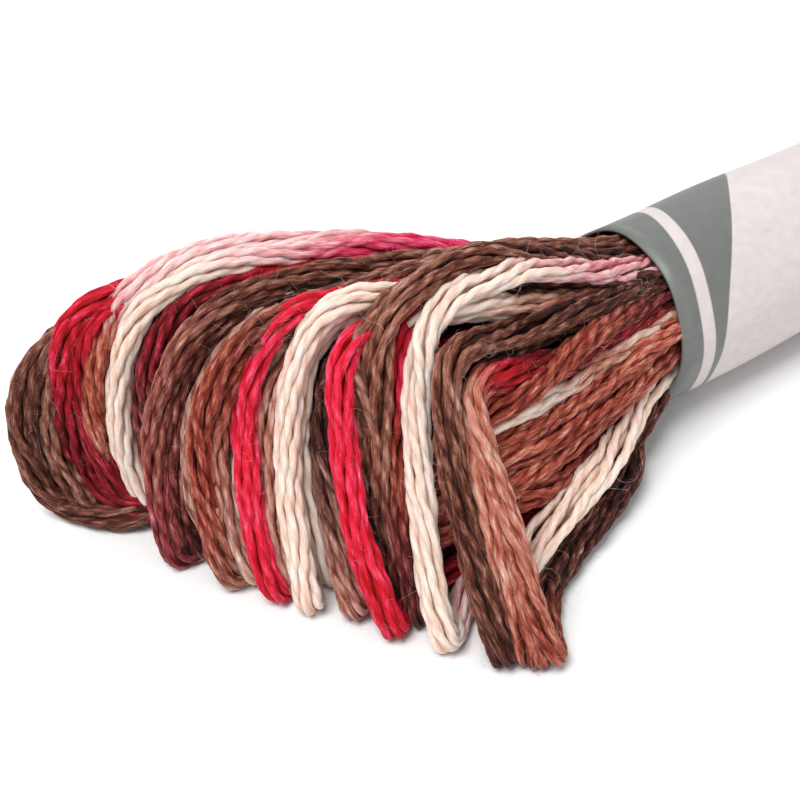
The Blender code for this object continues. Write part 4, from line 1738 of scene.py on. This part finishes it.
@dataclass
class Fuzz:
    """The loose fibre ends that stand off the floss.

    Attributes:
        spinner: What made the flosses.
        naps: The kinds of fibre end.
        thickness: How thick a fibre is, in millimetres.
        sides: How many sides it has.
        clear: How far from the band's rims it starts.
        root_gap: How far it starts from the middle of its strand.
        along: How much it leans along the strand.
        across: How much it leans across it.
        longest: The most that chance adds to its length, of the mean.
        curl: The span of its turn at each point, in radians.
        ground_gap: How far it stays above the ground.
        pale_share: How much cream its colour has.
        pale_span: The span of that cream's brightness.
        seed: The start of chance.
    """

    spinner: Spinner
    naps: tuple[Nap, ...] = (
        Nap("fan", 4.0, 5, 0.12, 0.26),
        Nap("curls", 0.5, 9, 0.6, 0.7),
        Nap("run", 0.3, 4, 0.2, 0.4, 1.6, True),
    )
    thickness: float = 0.008
    sides: int = 3
    clear: float = 0.6
    root_gap: float = 0.1
    along: float = 0.9
    across: float = 0.5
    longest: float = 2.5
    curl: Span = (0.3, 1.1)
    ground_gap: float = 0.03
    pale_share: float = 0.5
    pale_span: Span = (0.5, 1.0)
    seed: int = 700

    def build(self) -> list[bpy.types.Object]:
        """Makes each kind of fibre end.

        Returns:
            The pieces.
        """
        made = [self._hairs(nap) for nap in self.naps]
        for piece in made:
            join_skein(piece)
        return made

    def _hairs(self, nap: Nap) -> bpy.types.Object:
        """Makes one piece of fibre ends.

        Args:
            nap: The kind of fibre end.

        Returns:
            The piece.
        """
        rng = np.random.default_rng(self.seed + nap.points)
        name = "fuzz_" + nap.name
        section = section_curve("fibre_section", polygon(self.sides, 0.5 * self.thickness * nap.scale))
        curve = sweeping_curve(name, section)
        shades = []
        for floss in self.spinner.made:
            if floss.route.far != nap.far:
                continue
            shown = np.flatnonzero(np.abs(floss.route.places[:, 0]) > FAR_RIM_X + self.clear)
            for _ in range(int(nap.per_mm * floss.route.length)):
                station = int(rng.choice(shown))
                # The last strand is left out, because in a close floss it is the hidden middle one.
                strand = int(rng.integers(len(floss.lines) - 1))
                add_line(curve, self._hair(floss, strand, station, nap, rng))
                pale = self.pale_share * Dye.CREAM.linear * rng.uniform(*self.pale_span)
                shades.append((1 - self.pale_share) * floss.colours[station] + pale)
        mesh = swept_mesh(curve)
        bpy.data.objects.remove(section)
        each = len(mesh.vertices) // len(shades)
        store(mesh, "dye", Stored.COLOUR, with_one(np.repeat(np.array(shades), each, axis=0)))
        close_ends(mesh)
        return add_piece(name, mesh, self.spinner.materials[Detail.CLOSE])

    def _hair(
        self, floss: Spun, strand: int, station: int, nap: Nap, rng: np.random.Generator
    ) -> np.ndarray:
        """The line of one fibre end, which leaves its strand outwards and curls.

        Args:
            floss: The floss it stands on.
            strand: The number of its strand.
            station: The number of the station where it starts.
            nap: The kind of fibre end.
            rng: Where the chance comes from.

        Returns:
            Its places, in millimetres.
        """
        root, tangent = floss.lines[strand][station], floss.route.tangents[station]
        outward = unit(root - floss.route.places[station])
        lean = rng.normal(0, self.along) * tangent
        heading = unit(outward + lean + rng.normal(0, self.across) * np.cross(tangent, outward))
        axis = unit(rng.normal(size=3))
        extra = min(rng.exponential(nap.spare), self.longest * nap.spare)
        step = nap.scale * (nap.least + extra) / (nap.points - 1)
        bend = Matrix.Rotation(rng.choice((-1, 1)) * rng.uniform(*self.curl), 3, Vector(axis))
        place = root + self.root_gap * outward
        found = [place]
        for _ in range(nap.points - 1):
            place = place + step * heading
            place[2] = max(place[2], self.ground_gap)
            found.append(place.copy())
            heading = np.array(bend @ Vector(heading))
        return np.array(found)


@dataclass
class PaperBand:
    """The paper sleeve: one strip wrapped round the skein, its end lapped over its start.

    Attributes:
        finish: Its material.
        thickness: The paper's thickness, in millimetres.
        around: How many steps the strip has round the skein.
        columns: How many it has along the skein.
        lap: How far its end lies over its start, in degrees.
        lap_clock: Where its start lies, in degrees from +Y.
        tuck: How far the start is drawn in.
        tuck_fade: Over how many degrees it comes out again.
        dents: Waves of dents. Each has its depth, its number round the skein, its turn along the
            skein and its start.
        inset: How far the paper lies in from the model's band.
        ground_gap: How far it stays above the ground.
        rim_fade: How far from the near rim its lean goes.
        rim_lean: How far the near rim leans along the skein.
        rim_clock: Where it leans back most, in degrees from +Y.
        rim_forward: How far all of the near rim is drawn forward.
    """

    finish: bpy.types.Material
    thickness: float = 0.12
    around: int = 96
    columns: int = 60
    lap: float = 32.0
    lap_clock: float = -70.0
    tuck: float = 0.16
    tuck_fade: float = 8.0
    dents: tuple[tuple[float, int, float, float], ...] = ((0.035, 7, 0.35, 0.0), (0.03, 4, -0.6, 1.0))
    inset: float = 0.05
    ground_gap: float = 0.01
    rim_fade: float = 8.0
    rim_lean: float = 0.42
    rim_clock: float = 60.0
    rim_forward: float = 0.1

    def build(self) -> bpy.types.Object:
        """Makes the sleeve.

        Returns:
            The piece.
        """
        work = bmesh.new()
        start = clock_point(self.lap_clock, BAND_RADIUS, RIM_X)
        first = work.verts.new(Vector(start) * MM)
        turn = math.radians(CIRCLE + self.lap)
        bmesh.ops.spin(work, geom=[first], cent=Vector((RIM_X, 0, AXIS_Z)) * MM, axis=(1, 0, 0),
                       angle=turn, steps=self.around, use_merge=False)
        work.verts.ensure_lookup_table()
        for index, vert in enumerate(work.verts):
            self._tuck_in(vert, index)
        front = list(work.edges)
        step = Vector(((FAR_RIM_X - RIM_X) / self.columns * MM, 0, 0))
        for _ in range(self.columns):
            moved = bmesh.ops.extrude_edge_only(work, edges=front)
            fresh = [item for item in moved["geom"] if isinstance(item, bmesh.types.BMVert)]
            front = [item for item in moved["geom"] if isinstance(item, bmesh.types.BMEdge)]
            front = [edge for edge in front if all(vert in fresh for vert in edge.verts)]
            bmesh.ops.translate(work, verts=fresh, vec=step)
        for vert in work.verts:
            self._settle(vert)
        bmesh.ops.recalc_face_normals(work, faces=work.faces)
        mesh = bpy.data.meshes.new("paper_band")
        work.to_mesh(mesh)
        work.free()
        mesh.shade_smooth()
        piece = add_piece("paper_band", mesh, self.finish)
        wall = piece.modifiers.new("wall", "SOLIDIFY")
        wall.thickness = self.thickness * MM
        wall.offset = -1.0
        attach(piece, "root")
        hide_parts("band")
        LOG.info("paper_band: %d faces", len(mesh.polygons))
        return piece

    def _tuck_in(self, vert: bmesh.types.BMVert, index: int) -> None:
        """Draws the start of the strip in, under its lapped end.

        Args:
            vert: A point of the strip's first edge.
            index: Its number, from the start.
        """
        angle = index / self.around * (CIRCLE + self.lap)
        share = min(1.0, max(0.0, (self.lap + self.tuck_fade - angle) / self.tuck_fade))
        middle = Vector((vert.co.x, 0, AXIS_Z * MM))
        vert.co += (middle - vert.co).normalized() * self.tuck * share * MM

    def _settle(self, vert: bmesh.types.BMVert) -> None:
        """Lets the paper lie flat underneath and show the floss beneath it a little.

        Args:
            vert: A point of the strip.
        """
        x, y, z = (c / MM for c in vert.co)
        clock = math.atan2(z - AXIS_Z, y)
        dent = 0.0
        for depth, count, pitch, start in self.dents:
            dent += depth * math.sin(count * clock + pitch * x + start)
        middle = Vector((vert.co.x, 0, AXIS_Z * MM))
        vert.co += (vert.co - middle).normalized() * (dent - self.inset) * MM
        near_rim = max(0.0, 1 - (x - RIM_X) / self.rim_fade)
        lean = self.rim_lean * math.cos(clock - math.radians(self.rim_clock)) - self.rim_forward
        vert.co.x += lean * near_rim * MM
        vert.co.z = max(vert.co.z, self.ground_gap * MM)


@dataclass(frozen=True)
class Lamp:
    """One soft lamp.

    Attributes:
        name: What it is called.
        place: Where it hangs, in millimetres.
        size: The side of its square, in millimetres.
        power: Its power in watts.
    """

    name: str
    place: Point
    size: float
    power: float


@dataclass
class Studio:
    """A pale floor, soft light and the camera.

    Attributes:
        azimuth: Which way the camera looks, in degrees from +Y towards +X.
        drop: How far down it looks, in degrees.
        place: Where it stands, in millimetres.
        lens: Its focal length in millimetres.
        sensor: The width of its sensor in millimetres.
        near_clip: The nearest that it sees, in metres.
        floor_size: Half the side of the floor, in metres.
        floor_tone: The floor's colour, as linear light.
        floor_roughness: The floor's roughness.
        ambient: The strength of the light from all round.
        lamps: The lamps.
        aim: What they light, in millimetres from the near rim.
    """

    azimuth: float = 38.0
    drop: float = 36.0
    place: Point = (-59.96, -33.29, 35.68)
    lens: float = 63.0
    sensor: float = 36.0
    near_clip: float = 0.001
    floor_size: float = 3.0
    floor_tone: Colour = (0.84, 0.84, 0.84)
    floor_roughness: float = 0.9
    ambient: float = 0.42
    lamps: tuple[Lamp, ...] = (
        Lamp("key", (-220.0, -40.0, 380.0), 220.0, 1.85),
        Lamp("fill", (60.0, -340.0, 200.0), 260.0, 0.25),
        Lamp("back", (120.0, 300.0, 260.0), 260.0, 0.45),
    )
    aim: Point = (-8.0, 0.0, 5.0)

    def build(self) -> None:
        """Sets up the floor, the world, the lamps and the camera."""
        self._floor()
        self._light()
        self._camera()
        bpy.context.scene.view_settings.view_transform = "Standard"

    def _floor(self) -> None:
        """Lays the pale floor."""
        work = bmesh.new()
        bmesh.ops.create_grid(work, x_segments=1, y_segments=1, size=self.floor_size)
        mesh = bpy.data.meshes.new("floor")
        work.to_mesh(mesh)
        work.free()
        material, nodes, shader = blank_material("pale_floor")
        nodes.fill(shader, {"Base Color": (*self.floor_tone, 1.0), "Roughness": self.floor_roughness})
        add_piece("floor", mesh, material)

    def _light(self) -> None:
        """Sets the world's light and hangs the lamps."""
        world = bpy.data.worlds.new("studio")
        world.use_nodes = True
        sky = world.node_tree.nodes["Background"]
        Nodes(world.node_tree).fill(sky, {"Color": (1, 1, 1, 1), "Strength": self.ambient})
        bpy.context.scene.world = world
        for lamp in self.lamps:
            data = bpy.data.lights.new(lamp.name, "AREA")
            data.size = lamp.size * MM
            data.energy = lamp.power
            holder = bpy.data.objects.new(lamp.name, data)
            holder.location = Vector(lamp.place) * MM
            sight = (Vector((RIM_X, 0, 0)) + Vector(self.aim)) * MM - holder.location
            holder.rotation_euler = sight.to_track_quat("-Z", "Y").to_euler()
            bpy.context.scene.collection.objects.link(holder)

    def _camera(self) -> None:
        """Sets the camera up, looking along its azimuth and down."""
        data = bpy.data.cameras.new("camera")
        data.lens = self.lens
        data.sensor_width = self.sensor
        data.clip_start = self.near_clip
        camera = bpy.data.objects.new("camera", data)
        turn = Matrix.Rotation(math.radians(-self.azimuth), 4, "Z")
        tip = Matrix.Rotation(math.radians(90 - self.drop), 4, "X")
        camera.matrix_world = Matrix.Translation(Vector(self.place) * MM) @ turn @ tip
        bpy.context.scene.collection.objects.link(camera)
        bpy.context.scene.camera = camera


def main() -> None:
    logging.basicConfig(level=logging.INFO, format="%(name)s %(message)s")
    Studio().build()
    fibres = fibre_group()
    materials = {
        Detail.CLOSE: CottonFinish().make(fibres),
        Detail.PLAIN: CottonFinish(name="cotton_run", drawn_plies=True).make(fibres),
    }
    spinner = Spinner(Gauge(), materials)
    NearFan(spinner).build()
    FarRun(spinner).build()
    Fuzz(spinner).build()
    spinner.clear()
    PaperBand(PaperFinish().make(fibres)).build()
    meshes = [piece for piece in bpy.data.objects if piece.type == "MESH"]
    LOG.info("all: %d triangles", sum(triangles(piece) for piece in meshes))


if __name__ == "__main__":
    main()
